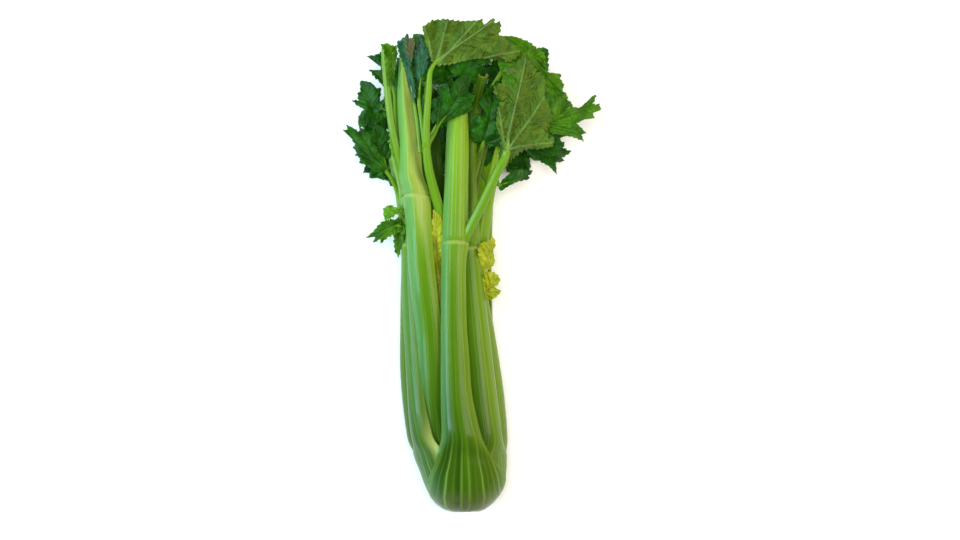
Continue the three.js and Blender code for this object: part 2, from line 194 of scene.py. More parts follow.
def lay_over(tree, body, colour, *shares, blend="MIX"):
    """Lays one colour over another by the product of its shares.

    A share is an output on its own, or an output eased from one value to another between two of its readings:
    (output, low, high, share at low, share at high).
    """
    product = None
    for share, *span in shares:
        if span:
            low, high, at_low, at_high = span
            share = add_node(tree, "ShaderNodeMapRange", {
                "interpolation_type": "SMOOTHSTEP", "Value": share, "From Min": low, "From Max": high,
                "To Min": at_low, "To Max": at_high})
        product = share if product is None else add_node(
            tree, "ShaderNodeMath", {"operation": "MULTIPLY", 0: product, 1: share})
    return add_node(tree, "ShaderNodeMix", {
        "data_type": "RGBA", "blend_type": blend, 0: product, 6: body, 7: colour}, 2)


def grown_pattern(tree, across, along, across_mm, along_mm, detail=2.0):
    """Noise stretched along the growth: one grain is across_mm wide and along_mm long."""
    flat = add_node(tree, "ShaderNodeCombineXYZ", {"X": across, "Y": along})
    grain = add_node(tree, "ShaderNodeMapping", {"Vector": flat, "Scale": (1 / across_mm, 1 / along_mm, 1)})
    return add_node(tree, "ShaderNodeTexNoise", {
        "Vector": grain, "Scale": 1.0, "Detail": detail, "Roughness": 0.55}, "Fac")


def celery_skin(name, foot, low, middle, high, rib, streak, pale_and_highlight, painted_cool_light, painted_warm_light):
    """The skin of a celery stalk: a waxy, moist cuticle over ribbed flesh, grown in long strands.

    To the eye: a soft broad gloss, paler raised ribs, long streaks of bluer and yellower green, and a foot that
    goes dark and then grey-brown towards the cut. Painted light lies on it too: a bluish tint of cool light on the
    flank that faces -X, a yellower tint of warm light on the flank that faces +X, and painted highlights, in the
    pale colour of its edges and node rings, on a keel's right face and beside the left stalk's foot.
    """
    material, tree, shader = new_skin(name, 0.4, 0.13, coat=0.1, coat_roughness=0.12, softness=0.08)
    own = {key: add_node(tree, "ShaderNodeAttribute", {"attribute_name": key}, "Fac") for key in (
        "across_mm", "along_mm", "rib", "pale", "left", "right", "ring", "cut")}
    along = own["along_mm"]
    height = add_node(tree, "ShaderNodeMapRange", {"Value": along, "From Max": STALK_LENGTH})
    body = add_node(tree, "ShaderNodeValToRGB", {"Fac": height}, "Color")
    elements = body.node.color_ramp.elements
    stops = [(0.0, foot), (0.06, low), (0.14, low), (0.5, middle), (0.8, high)]
    while len(elements) < len(stops):
        elements.new(0.5)
    for element, (position, colour) in zip(elements, stops):
        element.position = position
        element.color = linear(colour)
    strands = grown_pattern(tree, own["across_mm"], along, 5.0, 260)
    fine = grown_pattern(tree, own["across_mm"], along, 0.7, 34, 3.0)
    place = add_node(tree, "ShaderNodeTexCoord", {}, "Object")
    # stains about 7 mm across
    stain = add_node(tree, "ShaderNodeTexNoise", {"Vector": place, "Scale": 150.0, "Detail": 4.0}, "Fac")
    body = lay_over(tree, body, streak, (strands, 0.36, 0.68, 0.0, 0.34))
    # painted light: a bluish tint of cool light on flanks that face -X
    body = lay_over(tree, body, painted_cool_light, (own["left"], 0.0, 1.0, 0.0, 0.36))
    # painted light: a yellower tint of warm light on flanks that face +X
    body = lay_over(tree, body, painted_warm_light, (own["right"], 0.0, 1.0, 0.0, 0.5))
    body = lay_over(tree, body, "#7f9f5a", (fine, 0.35, 0.7, 0.0, 0.22), blend="MULTIPLY")
    body = lay_over(tree, body, rib, (own["rib"],), (along, 10.0, 85.0, 0.52, 0.07))
    # the stalk's own paler edges, with painted highlight on a keel's right face and along the left stalk's inner
    # edge
    body = lay_over(tree, body, pale_and_highlight, (own["pale"],))
    body = lay_over(tree, body, pale_and_highlight, (own["ring"], 0.0, 1.0, 0.0, 0.28))
    body = lay_over(tree, body, "#5c5a3c", (along, 22.0, 2.0, 0.0, 0.9), (stain, 0.4, 0.62, 0.15, 1.0))
    body = lay_over(tree, body, "#8a7a45", (own["cut"],))
    gloss = add_node(tree, "ShaderNodeMapRange", {
        "interpolation_type": "SMOOTHSTEP", "Value": strands, "From Min": 0.3, "From Max": 0.7,
        "To Min": 0.27, "To Max": 0.36})
    bump = add_node(tree, "ShaderNodeBump", {"Height": fine, "Strength": 0.34, "Distance": 0.0004})
    feed(tree, shader, {"Base Color": body, "Roughness": gloss, "Normal": bump})
    return material


def celery_leaf(name, upper, upper_light, under, vein, under_vein, roughness=0.46):
    """A celery leaf: a thin veined blade with a waxed upper side and a matt, paler underside.

    To the eye: a deep green quilted upper side with soft highlights and fine pale veins, and an olive underside
    on which the veins stand up in a paler green. Painted shade darkens the grooves along the upper side's veins,
    and the hollows of the underside's crumples and the places beside its raised veins.
    """
    material, tree, shader = new_skin(name, roughness, 0.2, softness=0.08)
    own = {key: add_node(tree, "ShaderNodeAttribute", {"attribute_name": key}, "Fac") for key in (
        "pucker", "vein", "hollow", "under", "rim", "withered")}
    place = add_node(tree, "ShaderNodeTexCoord", {}, "Object")
    # blotches about 11 mm across, and a net of cells about 1.6 mm across
    blotches = add_node(tree, "ShaderNodeTexNoise", {"Vector": place, "Scale": 90.0, "Detail": 3.0}, "Fac")
    cells = add_node(tree, "ShaderNodeTexVoronoi", {
        "feature": "DISTANCE_TO_EDGE", "Vector": place, "Scale": 620.0}, "Distance")
    net = add_node(tree, "ShaderNodeMapRange", {
        "interpolation_type": "SMOOTHSTEP", "Value": cells, "From Max": 0.12, "To Min": 1.0, "To Max": 0.0})
    top = lay_over(tree, upper, upper_light, (blotches, 0.35, 0.68, 0.0, 1.0))
    # painted shade: darker in the grooves along the veins of the upper side, where the quilting is low
    top = lay_over(tree, top, "#14300c", (own["pucker"], 0.0, 1.0, 0.35, 0.0))
    top = lay_over(tree, top, vein, (own["vein"], 0.1, 1.0, 0.0, 0.4))
    below = lay_over(tree, under, upper_light, (blotches, 0.3, 0.7, 0.0, 0.5))
    # painted shade: the upper side's dark green laid into the underside's hollows and beside its raised veins
    below = lay_over(tree, below, upper, (own["hollow"], 0.0, 1.0, 0.0, 0.8))
    below = lay_over(tree, below, under_vein, (net, 0.0, 1.0, 0.0, 0.3))
    below = lay_over(tree, below, under_vein, (own["vein"], 0.05, 1.0, 0.0, 0.5))
    body = lay_over(tree, top, below, (own["under"],))
    body = lay_over(tree, body, upper_light, (own["rim"], 0.0, 1.0, 0.0, 0.3))
    body = lay_over(tree, body, "#54482a", (own["withered"],))
    dullness = add_node(tree, "ShaderNodeMapRange", {
        "interpolation_type": "SMOOTHSTEP", "Value": own["under"], "To Min": roughness,
        "To Max": LEAF_UNDERSIDE_ROUGHNESS})
    bump = add_node(tree, "ShaderNodeBump", {"Height": cells, "Strength": 0.35, "Distance": 0.0003})
    feed(tree, shader, {"Base Color": body, "Roughness": dullness, "Normal": bump})
    return material


def cut_root_flesh():
    """The cut root end: pale, damp flesh sliced with a knife and left to brown.

    To the eye: cream flesh with fine rings and rays, a browner rim, and dull brown patches.
    """
    material, tree, shader = new_skin("celery_root_cut_flesh", 0.55, 0.4, softness=0.15)
    own = {key: add_node(tree, "ShaderNodeAttribute", {"attribute_name": key}, "Fac") for key in (
        "radius_mm", "turn")}
    place = add_node(tree, "ShaderNodeTexCoord", {}, "Object")
    # patches about 7 mm across
    patches = add_node(tree, "ShaderNodeTexNoise", {"Vector": place, "Scale": 140.0, "Detail": 5.0}, "Fac")
    rings = grown_pattern(tree, own["radius_mm"], own["turn"], 1.1, 0.12, 3.0)
    body = lay_over(tree, "#ded7a8", "#b8b06e", (rings, 0.35, 0.65, 0.0, 0.6))
    body = lay_over(tree, body, "#9c7a45", (patches, 0.5, 0.68, 0.0, 0.7))
    body = lay_over(tree, body, "#8b7a48", (own["radius_mm"], 9.0, 14.0, 0.0, 0.6))
    bump = add_node(tree, "ShaderNodeBump", {"Height": rings, "Strength": 0.5, "Distance": 0.0005})
    feed(tree, shader, {"Base Color": body, "Normal": bump})
    return material


def painted_floor():
    """The floor: matt white painted board, rolled, so to the eye it is even and without gloss."""
    material, tree, shader = new_skin("matt_white_board", 0.9, 0.2)
    place = add_node(tree, "ShaderNodeTexCoord", {}, "Object")
    speck = add_node(tree, "ShaderNodeTexNoise", {"Vector": place, "Scale": 40.0, "Detail": 2.0}, "Fac")
    feed(tree, shader, {"Base Color": lay_over(tree, "#fafafa", "#fdfdfd", (speck,))})
    return material


STALK_SKIN = celery_skin("celery_stalk_skin", "#3c4a1a", "#244402", "#4c7408", "#74a01a", "#8aac52", "#5c860a",
                         "#c4ce78", "#589c6c", "#7c9a1c")
HEART_SKIN = celery_skin("celery_heart_stalk_skin", "#a8a566", "#a3a84a", "#a0ac40", "#93a838", "#c0c680", "#b2b655",
                         "#c3c882", "#a0ac50", "#b0b040")
STEM_SKIN = celery_skin("celery_leaf_stem_skin", "#5f8a18", "#5f8a18", "#5f8a18", "#6b951e", "#8aac4a", "#56801a",
                        "#8aac4a", "#5f8a18", "#6b951e")
ROOT_FLESH = cut_root_flesh()
LEAF_DARK = celery_leaf("celery_leaf_dark", "#123c03", "#245e06", "#36560c", "#3c6a18", "#587534")
LEAF_BRIGHT = celery_leaf("celery_leaf_bright", "#2a5a04", "#487a0a", "#4a6a1c", "#5c8c22", "#6c8840")
LEAF_OLIVE = celery_leaf("celery_leaf_underside_out", "#183c04", "#40600e", "#4c6812", "#4f7a1c", "#7c9450")
LEAF_TEAL = celery_leaf("celery_leaf_folded_blue_green", "#1a4428", "#2f6240", "#34604a", "#4c7c5a", "#638a62")
LEAF_PALE = celery_leaf("celery_leaf_young_pale", "#4a8414", "#6aa020", "#6c9030", "#84a83c", "#94ac58")
LEAF_HEART = celery_leaf("celery_heart_leaf_yellow", "#8f9c16", "#b0b82c", "#a0a636", "#c2c650", "#bcc060", 0.5)


# ---------------------------------------------------------------- stalks

# The butt, where the stalks' feet wrap round the head: height above the cut, then the middle's x and the radius
BUTT = np.array([(0, 3.8, 11.5), (0.8, 3.8, 14.5), (2, 3.4, 17.2), (4, 3.2, 20.2), (7, 3.2, 23.8),
                 (11, 3.2, 27.4), (17, 3.6, 31.2), (24, 3.4, 34.2), (30, 3.2, 36.0), (43, 0.8, 39.0),
                 (62, -2.0, 41.0), (90, -5.0, 41.0)])
FOOT_HEIGHTS = np.array([0.6, 2.0, 4.5, 8.0, 13.0, 19.0, 26.0, 33.0, 40.0, 48.0])
STALK_CROWN = 0.185  # from the middle of a stalk to its crest, over its width, as in the model
STALK_HALF_WRAP = 62.0  # half the arc of its outer face above the foot, in degrees
LEAVES_FOOT_AT = 60  # the height at which a stalk leaves its foot
AROUND_OUTSIDE, AROUND_INSIDE = 97, 25  # points across a stalk's outer and inner face
RING_STEP = 2.4  # between rings of points along a stalk
FOOT_RING_STEP, FOOT_RINGS_TO = 0.9, 40  # at its foot, and how far up from there
NODE_RING_STEP = 0.45  # and close to its node
# How far the ribs' fan has opened at a height above the cut, over the width they have at the top of the foot
RIB_FAN = np.array([(0, 0.95), (2, 1.2), (5, 1.55), (12, 1.7), (30, 1.5), (46, 1.2), (60, 1.0)])

# Each stalk: its rows above the foot (x, y, z, width, the way it faces in degrees from up towards +X), then for
# each of the foot's heights the way that the foot faces and half the angle that it wraps, how deep the foot lies
# under the outermost one (at the cut and at the top of the foot, where they differ), the height of its node and
# its number of ribs. Where they are given: how sharp the keel above its node is, the points across its outer
# face, how much of the brighter green of its upper part it lacks as painted shade, and how strong a painted
# highlight lies along its inner edge beside the foot.
STALKS = {
    "stalk_front_middle": dict(
        rows=[[1.5, 62, 80.5, 33, 1], [-1, 80, 80.5, 28.5, 0], [-3, 100, 80, 25, 0], [-4, 128, 78.5, 23, 0],
              [-5, 155, 77, 21, 0], [-5, 200, 75, 20, 0], [-4, 221, 74, 21, 0], [-3, 262, 72, 19.5, 0],
              [-2, 305, 70, 18, 0], [-1, 345, 67, 13, 0]],
        foot=[(6, 86), (6, 86), (6, 86), (7, 86), (8, 84), (9, 78), (10, 68), (10, 56), (7, 42), (5, 33)],
        inset=0, node=221, ribs=10, keel=0.1, around=289),
    "stalk_front_right": dict(
        rows=[[25, 60, 67, 31, 42], [21, 92, 68, 30, 40], [15, 150, 66, 25, 36], [12, 180, 64, 22, 34],
              [9, 215, 61, 19, 30], [9, 226, 60, 18, 25], [9, 260, 60, 11, 15], [9, 300, 60, 10, 10],
              [12, 325, 61.5, 9, 4]],
        foot=[(52, 44), (52, 44), (52, 44), (52, 43), (52, 42), (52, 41), (52, 40), (52, 39), (51, 38), (50, 37)],
        inset=1.6, node=216, ribs=10, around=145, dull=0.6),
    "stalk_left": dict(
        rows=[[-32, 60, 62, 30, -58], [-35, 76, 61.5, 28, -62], [-37, 92, 60, 26, -66], [-40, 130, 54, 24, -72],
              [-43, 175, 50, 22, -74], [-44, 215, 48, 20, -74], [-45, 228, 48, 19, -74], [-51, 265, 48, 14, -70],
              [-60, 304, 48, 10, -60]],
        foot=[(-54, 44), (-54, 44), (-54, 44), (-54, 44), (-54, 44), (-53, 44), (-52, 43), (-52, 42), (-53, 40),
              (-55, 38)],
        inset=1.2, node=219, ribs=10, around=145, painted_edge_highlight=0.55),
    "stalk_front_left": dict(
        rows=[[-4, 16, 50, 20, -25], [-12, 38, 61, 21, -25], [-19, 60, 66, 23, -25], [-23, 92, 68, 23, -22],
              [-26, 145, 69, 23, -20], [-30, 180, 71, 23, -18], [-34, 225, 71, 22, -14], [-37, 259, 70, 22, -10],
              [-41, 275, 69, 20, -8], [-42, 300, 68, 18, -8], [-45, 335, 69, 13, -8], [-47, 376, 71, 4, -8]],
        node=259, ribs=9, keel=0.75),
    "stalk_side_right": dict(
        rows=[[33, 62, 33, 30, 94], [30, 100, 32, 28, 94], [23, 150, 33, 24, 92], [18, 180, 35, 22, 90],
              [18, 212, 40, 20, 84], [20, 224, 43, 19, 80], [26, 262, 48, 14, 70], [36, 305, 50, 10, 55]],
        foot=[(96, 26)] * 10, inset=(2.6, 1.8), node=214, ribs=10),
    "stalk_side_left": dict(
        rows=[[-38, 62, 30, 29, -100], [-44, 110, 25, 26, -98], [-44.5, 165, 24, 24, -98], [-44, 205, 23, 22, -98],
              [-44, 220, 23, 21, -98], [-49, 255, 22, 16, -100], [-58, 300, 20, 11, -110]],
        foot=[(-100, 26)] * 10, inset=(2.6, 1.6), node=214, ribs=10),
    "stalk_back_right": dict(
        rows=[[16, 62, 4.8, 27, 180], [15, 110, 4.6, 26, 180], [14, 160, 4.5, 25, 180], [14, 205, 4.4, 23, 180],
              [15, 220, 4.6, 22, 180], [20, 260, 7, 16, 176], [30, 305, 12, 11, 165]],
        foot=[(150, 40)] * 6 + [(155, 39), (160, 37), (165, 34), (168, 31)], inset=1.4, node=214, ribs=10),
    "stalk_back_left": dict(
        rows=[[-19, 62, 4.8, 27, -180], [-20, 110, 4.6, 26, -180], [-21, 160, 4.5, 25, -180],
              [-22, 205, 4.4, 23, -180], [-23, 220, 4.6, 22, -180], [-28, 260, 7, 16, -180],
              [-36, 305, 11, 11, -168]],
        foot=[(-152, 40)] * 6 + [(-154, 39), (-157, 36), (-160, 33), (-163, 30)], inset=0.4, node=214, ribs=10),
    "stalk_inner_right": dict(
        rows=[[6, 26, 48, 16, 35], [9, 60, 54, 19, 35], [7, 110, 54, 18, 30], [4, 165, 50, 17, 25],
              [2, 215, 47, 16, 20], [6, 260, 47, 12, 15], [18, 305, 49, 9, 10], [26, 335, 54, 7, 0]],
        node=220, ribs=8, around=65, dull=0.75),
    "stalk_inner_left": dict(
        rows=[[-8, 26, 42, 16, -88], [-19, 60, 44, 19, -84], [-25, 110, 45, 18, -80], [-27, 165, 48, 17, -72],
              [-28, 215, 50, 16, -50], [-28, 260, 51, 12, -30], [-29, 305, 54, 9, -15], [-27, 340, 60, 7, 0]],
        node=216, ribs=8, around=65, dull=0.75),
    "stalk_inner_back_right": dict(
        rows=[[10, 28, 32, 16, 135], [15, 60, 25, 19, 140], [12, 110, 22, 19, 145], [8, 165, 20, 18, 150],
              [6, 215, 21, 16, 150], [10, 260, 26, 12, 150], [22, 305, 31, 9, 140], [34, 340, 36, 7, 120]],
        node=222, ribs=8, around=65, dull=0.75),
    "stalk_inner_back_left": dict(
        rows=[[-2, 28, 32, 16, -150], [-12, 60, 25, 19, -150], [-16, 110, 22, 19, -150], [-17, 165, 21, 18, -150],
              [-18, 215, 22, 16, -150], [-18, 260, 26, 12, -150], [-22, 305, 31, 9, -150], [-24, 345, 36, 7, -150]],
        node=212, ribs=8, around=65, dull=0.75),
    "heart_stalk_left": dict(
        rows=[[0, 29, 42, 9, -60], [-7, 60, 45, 11, -60], [-12, 110, 50, 11, -50], [-15, 160, 55, 9, -40],
              [-17, 200, 60, 6, -30]],
        node=170, ribs=6, around=65),
    "heart_stalk_right": dict(
        rows=[[5, 29, 40, 9, 70], [4, 60, 41, 11, 70], [6, 110, 42, 11, 70], [12, 155, 45, 9, 60],
              [21, 190, 51, 6, 50]],
        node=160, ribs=6, around=65),
    "heart_stalk_middle": dict(
        rows=[[3, 29, 37, 8, 180], [-2, 60, 35, 10, 180], [-5, 110, 34, 10, 180], [-6, 165, 35, 8, 180],
              [-8, 215, 37, 5, 180]],
        node=175, ribs=6, around=65),
}


def stalk_rows(stalk):
    """Rows of crest x, y, z, chord, facing angle and half wrap, with the foot's rows first.

    A foot's crest lies on the butt, at its radius less the inset, and its chord is twice that times the sine of
    half its wrap. Above it the crest stands off the route by the crown, and the arc of its outer face is fixed.
    """
    rows = np.array(stalk["rows"], float)
    facing = np.radians(rows[:, 4])
    crown = STALK_CROWN * rows[:, 3]
    crest = rows[:, :3] + np.stack([np.sin(facing), 0 * facing, np.cos(facing)], axis=1) * crown[:, None]
    upper = np.column_stack([crest, rows[:, 3:5], np.full(len(rows), STALK_HALF_WRAP)])
    if "foot" not in stalk:
        return upper
    heights = FOOT_HEIGHTS
    middle = np.interp(heights, BUTT[:, 0], BUTT[:, 1])
    inset = np.interp(heights, [0, heights[-1]], np.resize(stalk["inset"], 2))
    radius = np.interp(heights, BUTT[:, 0], BUTT[:, 2]) - inset
    angles = np.array(stalk["foot"], float)
    turn, wrap = np.radians(angles[:, 0]), np.radians(angles[:, 1])
    lower = np.column_stack([
        middle + radius * np.sin(turn), heights, ROOT_CENTRE[2] + radius * np.cos(turn),
        2 * radius * np.sin(wrap), angles[:, 0], angles[:, 1]])
    return np.vstack([lower, upper])


def grow_stalk(name, stalk, seed):
    """A stalk's closed skin: s runs across its outer face and back along its inner face, v along the stalk.

    Outer face at s from -1 to 1: the crest plus R sin(wrap s) across and R (cos(wrap s) - 1) outward, where R is
    half the chord over sin(wrap), so it is an arc. A keel blends that arc towards two flat sides that meet at
    the crest. The inner face lies inside it by depth (1 - 0.3 s^2) sqrt(1 - s^4), which closes at both edges,
    less a shallow channel of depth 0.16 (1 - s^2) below the node. Ribs lift the outer face along its normal by
    (0.5 + 0.5 cos 2 pi p)^n, where p counts them across the stalk and n falls from 7 to 4 at the foot, each to a
    height of its own. The node lifts it by a swelling, a crease and a low ring, three bells along the stalk.
    """
    random = np.random.default_rng(seed)
    table = stalk_rows(stalk)
    coarse = np.linspace(0, 1, 600)
    heights = through(table[:, 1:2], coarse)[:, 0]
    length = heights[-1] - heights[0]
    even = np.linspace(heights[0], heights[-1], int(length / RING_STEP) + 1)
    foot_rings = heights[0] + np.arange(0, FOOT_RINGS_TO, FOOT_RING_STEP) if "foot" in stalk else []
    node_rings = stalk["node"] + np.arange(-7, 7.01, NODE_RING_STEP)
    y = np.unique(np.round(np.concatenate([even, foot_rings, node_rings]), 3))
    y = y[np.concatenate([[True], np.diff(y) > 0.2])]
    y[-1] = heights[-1]
    u = np.interp(y, heights, coarse)
    rows = through(table, u)
    chord, facing, wrap = rows[:, 3], np.radians(rows[:, 4]), np.radians(rows[:, 5])
    node = stalk["node"]
    above = smooth(node - 1, node + 3, y)
    chord = chord * (1 + 0.05 * bell(y, node - 5, 8) - 0.04 * bell(y, node + 2.5, 2.5))
    depth = np.minimum(0.27 * chord, 7.0) * (1 - above) + np.minimum(0.5 * chord, 9.5) * above
    if "foot" in stalk:
        depth = np.minimum(depth, 2.0 + 0.09 * y)

    outer_count = stalk.get("around", AROUND_OUTSIDE)
    s_out = np.sin(np.linspace(-1, 1, outer_count) * np.pi / 2 * 0.92) / np.sin(np.pi / 2 * 0.92)
    s_in = np.linspace(1, -1, AROUND_INSIDE + 2)[1:-1]
    s = np.concatenate([s_out, s_in])
    outside = np.concatenate([np.ones(outer_count), np.zeros(AROUND_INSIDE)])
    angle = wrap[:, None] * s
    radius = (chord / 2 / np.sin(wrap))[:, None]
    across = radius * np.sin(angle)
    drop = radius * (1 - np.cos(angle))
    keel = stalk.get("keel", 0) * smooth(node - 60, node + 10, y)[:, None]
    drop = drop * (1 - keel) + keel * (0.62 * chord)[:, None] * np.abs(s) ** 1.15
    inward = depth[:, None] * (1 - 0.3 * s**2) * np.sqrt(np.maximum(1 - s**4, 0)) * (1 - outside)
    channel = 0.16 * depth[:, None] * (1 - s**2) * (1 - outside) * (1 - above[:, None])

    # ribs, thin and a little uneven. They keep their share of the width down to the foot, where they open as a fan
    # about the line that the stalk leaves the foot on, and more of them start along the wings' edges
    reach, petiole, leaves_x, leaves_z, leaves_facing = chord[:, None] / 2, *(
        np.interp(LEAVES_FOOT_AT, y, column) for column in (chord / 2, rows[:, 0], rows[:, 2], facing))
    aside = (rows[:, 0] - leaves_x) * np.cos(leaves_facing) - (rows[:, 2] - leaves_z) * np.sin(leaves_facing)
    lateral = aside[:, None] + across * np.cos(facing - leaves_facing)[:, None]
    opening = np.interp(y, *RIB_FAN.T)[:, None]
    near_foot = smooth(72, 46, y)[:, None] if "foot" in stalk else 0
    place = across / reach * (1 - near_foot) + lateral / petiole / opening * near_foot
    phase = stalk["ribs"] * (place + 0.05 * np.sin(3.1 * place + random.uniform(0, 6)) + 1) / 2
    wave = (0.5 + 0.5 * np.cos(2 * np.pi * phase)) ** (7 - 3 * near_foot)
    uneven = 0.2 + 0.8 * (0.5 + 0.5 * np.sin(2.4 * np.floor(phase + 0.5) + seed)) ** 2
    rib_height = (0.13 + 0.2 * smooth(60, 25, y) + 0.12 * above) * np.clip(chord / 20, 0.35, 1.1)
    fade = smooth(1.0, 0.9, np.abs(s)) * outside
    rib = wave * uneven * fade
    lift = rib_height[:, None] * rib

    # the node: a swelling below, a thin crease that arches up in the middle, and a low ring above it
    arched = y[:, None] - (node - 1.6 * s**2)
    lift = lift + outside * (0.35 * bell(arched, -2.6, 2.4) - 0.75 * bell(arched, 0.2, 0.75)
                             + 0.3 * bell(arched, 1.8, 1.0))
    out_part = np.cos(angle) * lift - drop - inward + channel
    side_part = across + np.sin(angle) * lift

    outward = np.stack([np.sin(facing), 0 * facing, np.cos(facing)], axis=1)
    sideways = np.stack([np.cos(facing), 0 * facing, -np.sin(facing)], axis=1)
    points = (rows[:, None, :3] + side_part[..., None] * sideways[:, None] + out_part[..., None] * outward[:, None])
    points[..., 1] = y[:, None]
    # painted shade: with a dull share, a stalk's colour above 150 mm reads as if lower down, so its upper part keeps
    # the darker green of its foot, for the shade under the leaves
    tone = y * (1 - stalk.get("dull", 0) * smooth(150, 270, y))
    # how far each place looks towards -X or +X; a keel's two sides look further round than the arc does
    turned = np.sin(facing[:, None] + angle * (1 - keel) + 0.9 * keel * np.tanh(9 * s))
    # pale: the stalk's own slightly paler edges, and painted highlight over the right face of a keel and along the
    # left stalk's inner edge beside its foot
    pale = (0.06 * smooth(0.8, 0.98, np.abs(s)) + 0.55 * keel * bell(s, 0.45, 0.48)
            + stalk.get("painted_edge_highlight", 0) * smooth(0.3, 0.95, s) * bell(y, 44, 24)[:, None])
    # painted light: left is how strongly a bluish tint of cool light from -X is painted on a place, weaker towards
    # the foot
    grown = smooth(0, 120, y)[:, None]
    left = smooth(-0.2, -0.85, turned) * (0.2 + 0.8 * np.maximum(np.cos(facing), 0))[:, None] * (
        0.5 + 0.5 * smooth(50, 200, y)[:, None])
    shape = points.shape[:2]
    attributes = {
        "across_mm": with_ends(place * 12 + seed * 40, shape),
        "along_mm": with_ends(tone[:, None], shape, tone[0], tone[-1]),
        "rib": with_ends(rib, shape), "pale": with_ends(pale, shape), "left": with_ends(left, shape),
        # painted light: the yellower tint of warm light on places that face +X, weaker towards the foot
        "right": with_ends(smooth(0.0, 0.85, turned) * (0.45 + 0.55 * grown), shape),
        "ring": with_ends(outside * bell(arched, -1.2, 1.6) * (1 - 0.8 * s**2), shape),
        "cut": with_ends(0, shape, 1, 1),
    }
    material, slot = (HEART_SKIN, "heart_skin") if name.startswith("heart") else (STALK_SKIN, "stalk_skin")
    add_piece(name + "_skin", *closed_tube(points), material, name, slot, attributes)


for number, (stalk_name, stalk_data) in enumerate(STALKS.items()):
    grow_stalk(stalk_name, stalk_data, number + 1)


CUT_END_RADIUS = 4.6


def grow_cut_end():
    """The broken-off end of the right front stalk's rib: a hollow tube, closed, that curls up from the rib.

    At share t and turn a: the route through its rows plus r (1 + 0.05 cos 8 a) (cos a, sin a) across it. The
    outer wall runs up to t = 1, rolls in over the rim, and the inner wall goes back down for half the way.
    """
    route = [[11, 312, 60.5], [13, 330, 62], [16, 346, 66], [18.6, 355, 73]]
    wall, rim, inner_wall = np.linspace(0, 1, 40), [1.004, 1.004, 1.0], np.linspace(0.97, 0.5, 20)
    t = np.concatenate([wall, rim, inner_wall])
    shrink = np.concatenate([np.ones(len(wall)), [0.94, 0.72, 0.62], np.full(len(inner_wall), 0.58)])
    shrink[-1] = 0.05
    on_route = np.minimum(t, 1.0)
    middle = through(route, on_route)
    tangent = unit(middle - through(route, on_route - 0.01))
    across = unit(np.cross(tangent, [1.0, 0.0, 0.0]))
    beside = np.cross(across, tangent)
    a = np.linspace(0, 2 * np.pi, 48, endpoint=False)
    radius = CUT_END_RADIUS * shrink[:, None] * (1 + 0.05 * np.cos(8 * a))[None, :]
    points = middle[:, None] + radius[..., None] * (
        np.cos(a)[None, :, None] * beside[:, None] + np.sin(a)[None, :, None] * across[:, None])
    points += ((t - on_route) * 60)[:, None, None] * tangent[:, None]
    shape = points.shape[:2]
    attributes = dict.fromkeys(("pale", "left", "right", "ring"), with_ends(0, shape))
    attributes |= {
        "across_mm": with_ends(np.abs(a - np.pi) * 4, shape),
        # painted shade: a fixed along_mm of 110 gives the cut end the darker mid green of a stalk's lower part, for
        # the shade among the leaves around it
        "along_mm": with_ends(110, shape, 110, 110),
        "rib": with_ends(0.5 + 0.5 * np.cos(8 * a), shape),
        "cut": with_ends(smooth(0.97, 0.9, shrink)[:, None], shape, 0, 1),
    }
    add_piece("stalk_front_right_cut_end", *closed_tube(points), STALK_SKIN, "stalk_front_right", "stalk_skin",
              attributes)


grow_cut_end()


# ---------------------------------------------------------------- root end

def turn_root():
    """The root end: an outline turned about the head's axis, its cut face slightly wavy.

    Point at outline place k and turn a: the axis plus r_k (sin a, 0, cos a), at height h_k. On the cut face the
    height also waves by 0.35 sin(3 a + r / 2) and 0.22 sin(11 a) times r over the cut's radius, and a grain of
    0.22 sin(2.1 r + 0.6 sin 5 a) lies on it.
    """
    radii = np.concatenate([np.linspace(0.3, 13.2, 24), [13.9, 14.6, 17, 19.5, 20.5, 19, 14, 7, 0.3]])
    heights = np.concatenate([np.full(24, 0.3), [0.7, 1.6, 4, 8, 12, 17, 21, 24, 25]])
    turns = np.linspace(0, 2 * np.pi, 144, endpoint=False)
    r, a = radii[:, None], turns[None, :]
    on_cut = smooth(14.4, 12.5, r)
    wave = on_cut * (0.35 * np.sin(3 * a + r * 0.5) + 0.22 * np.sin(11 * a)) * r / 14
    grain = on_cut * 0.22 * np.sin(r * 2.1 + 0.6 * np.sin(5 * a))
    x = ROOT_CENTRE[0] - 0.4 + r * np.sin(a)
    z = ROOT_CENTRE[2] + r * np.cos(a)
    y = heights[:, None] + np.maximum(wave + grain, -0.25)
    points = np.stack([x, y, z], axis=-1)
    shape = points.shape[:2]
    attributes = {"radius_mm": with_ends(r, shape), "turn": with_ends(np.abs(a - np.pi), shape)}
    add_piece("root_end_flesh", *closed_tube(points), ROOT_FLESH, "root_end", "root_flesh", attributes)


turn_root()


# ---------------------------------------------------------------- leaves

BLADE_THICKNESS = 0.45
TOOTH = 4.2  # between the teeth of a leaf's margin
VEIN_SPACING = 4.6
RUFFLE = 1.6  # the height of the waves along a leaf's margin
CRUMPLE_LENGTHS, CRUMPLE_SIZES = (21.0, 15.0, 11.5, 9.0), (0.9, 0.8, 0.55, 0.4)
STEM_STEPS, STEM_AROUND = 90, 28

# Half of a leaf's outline, its distance across over half its width and its place from foot to tip
LEAF_HALF = [(0.06, 0.0), (0.38, -0.03), (0.72, 0.02), (1.0, 0.1), (0.82, 0.2), (1.0, 0.33), (0.86, 0.43),
             (0.5, 0.47), (0.36, 0.52), (0.62, 0.6), (0.74, 0.72), (0.5, 0.76), (0.4, 0.84), (0.2, 0.9)]

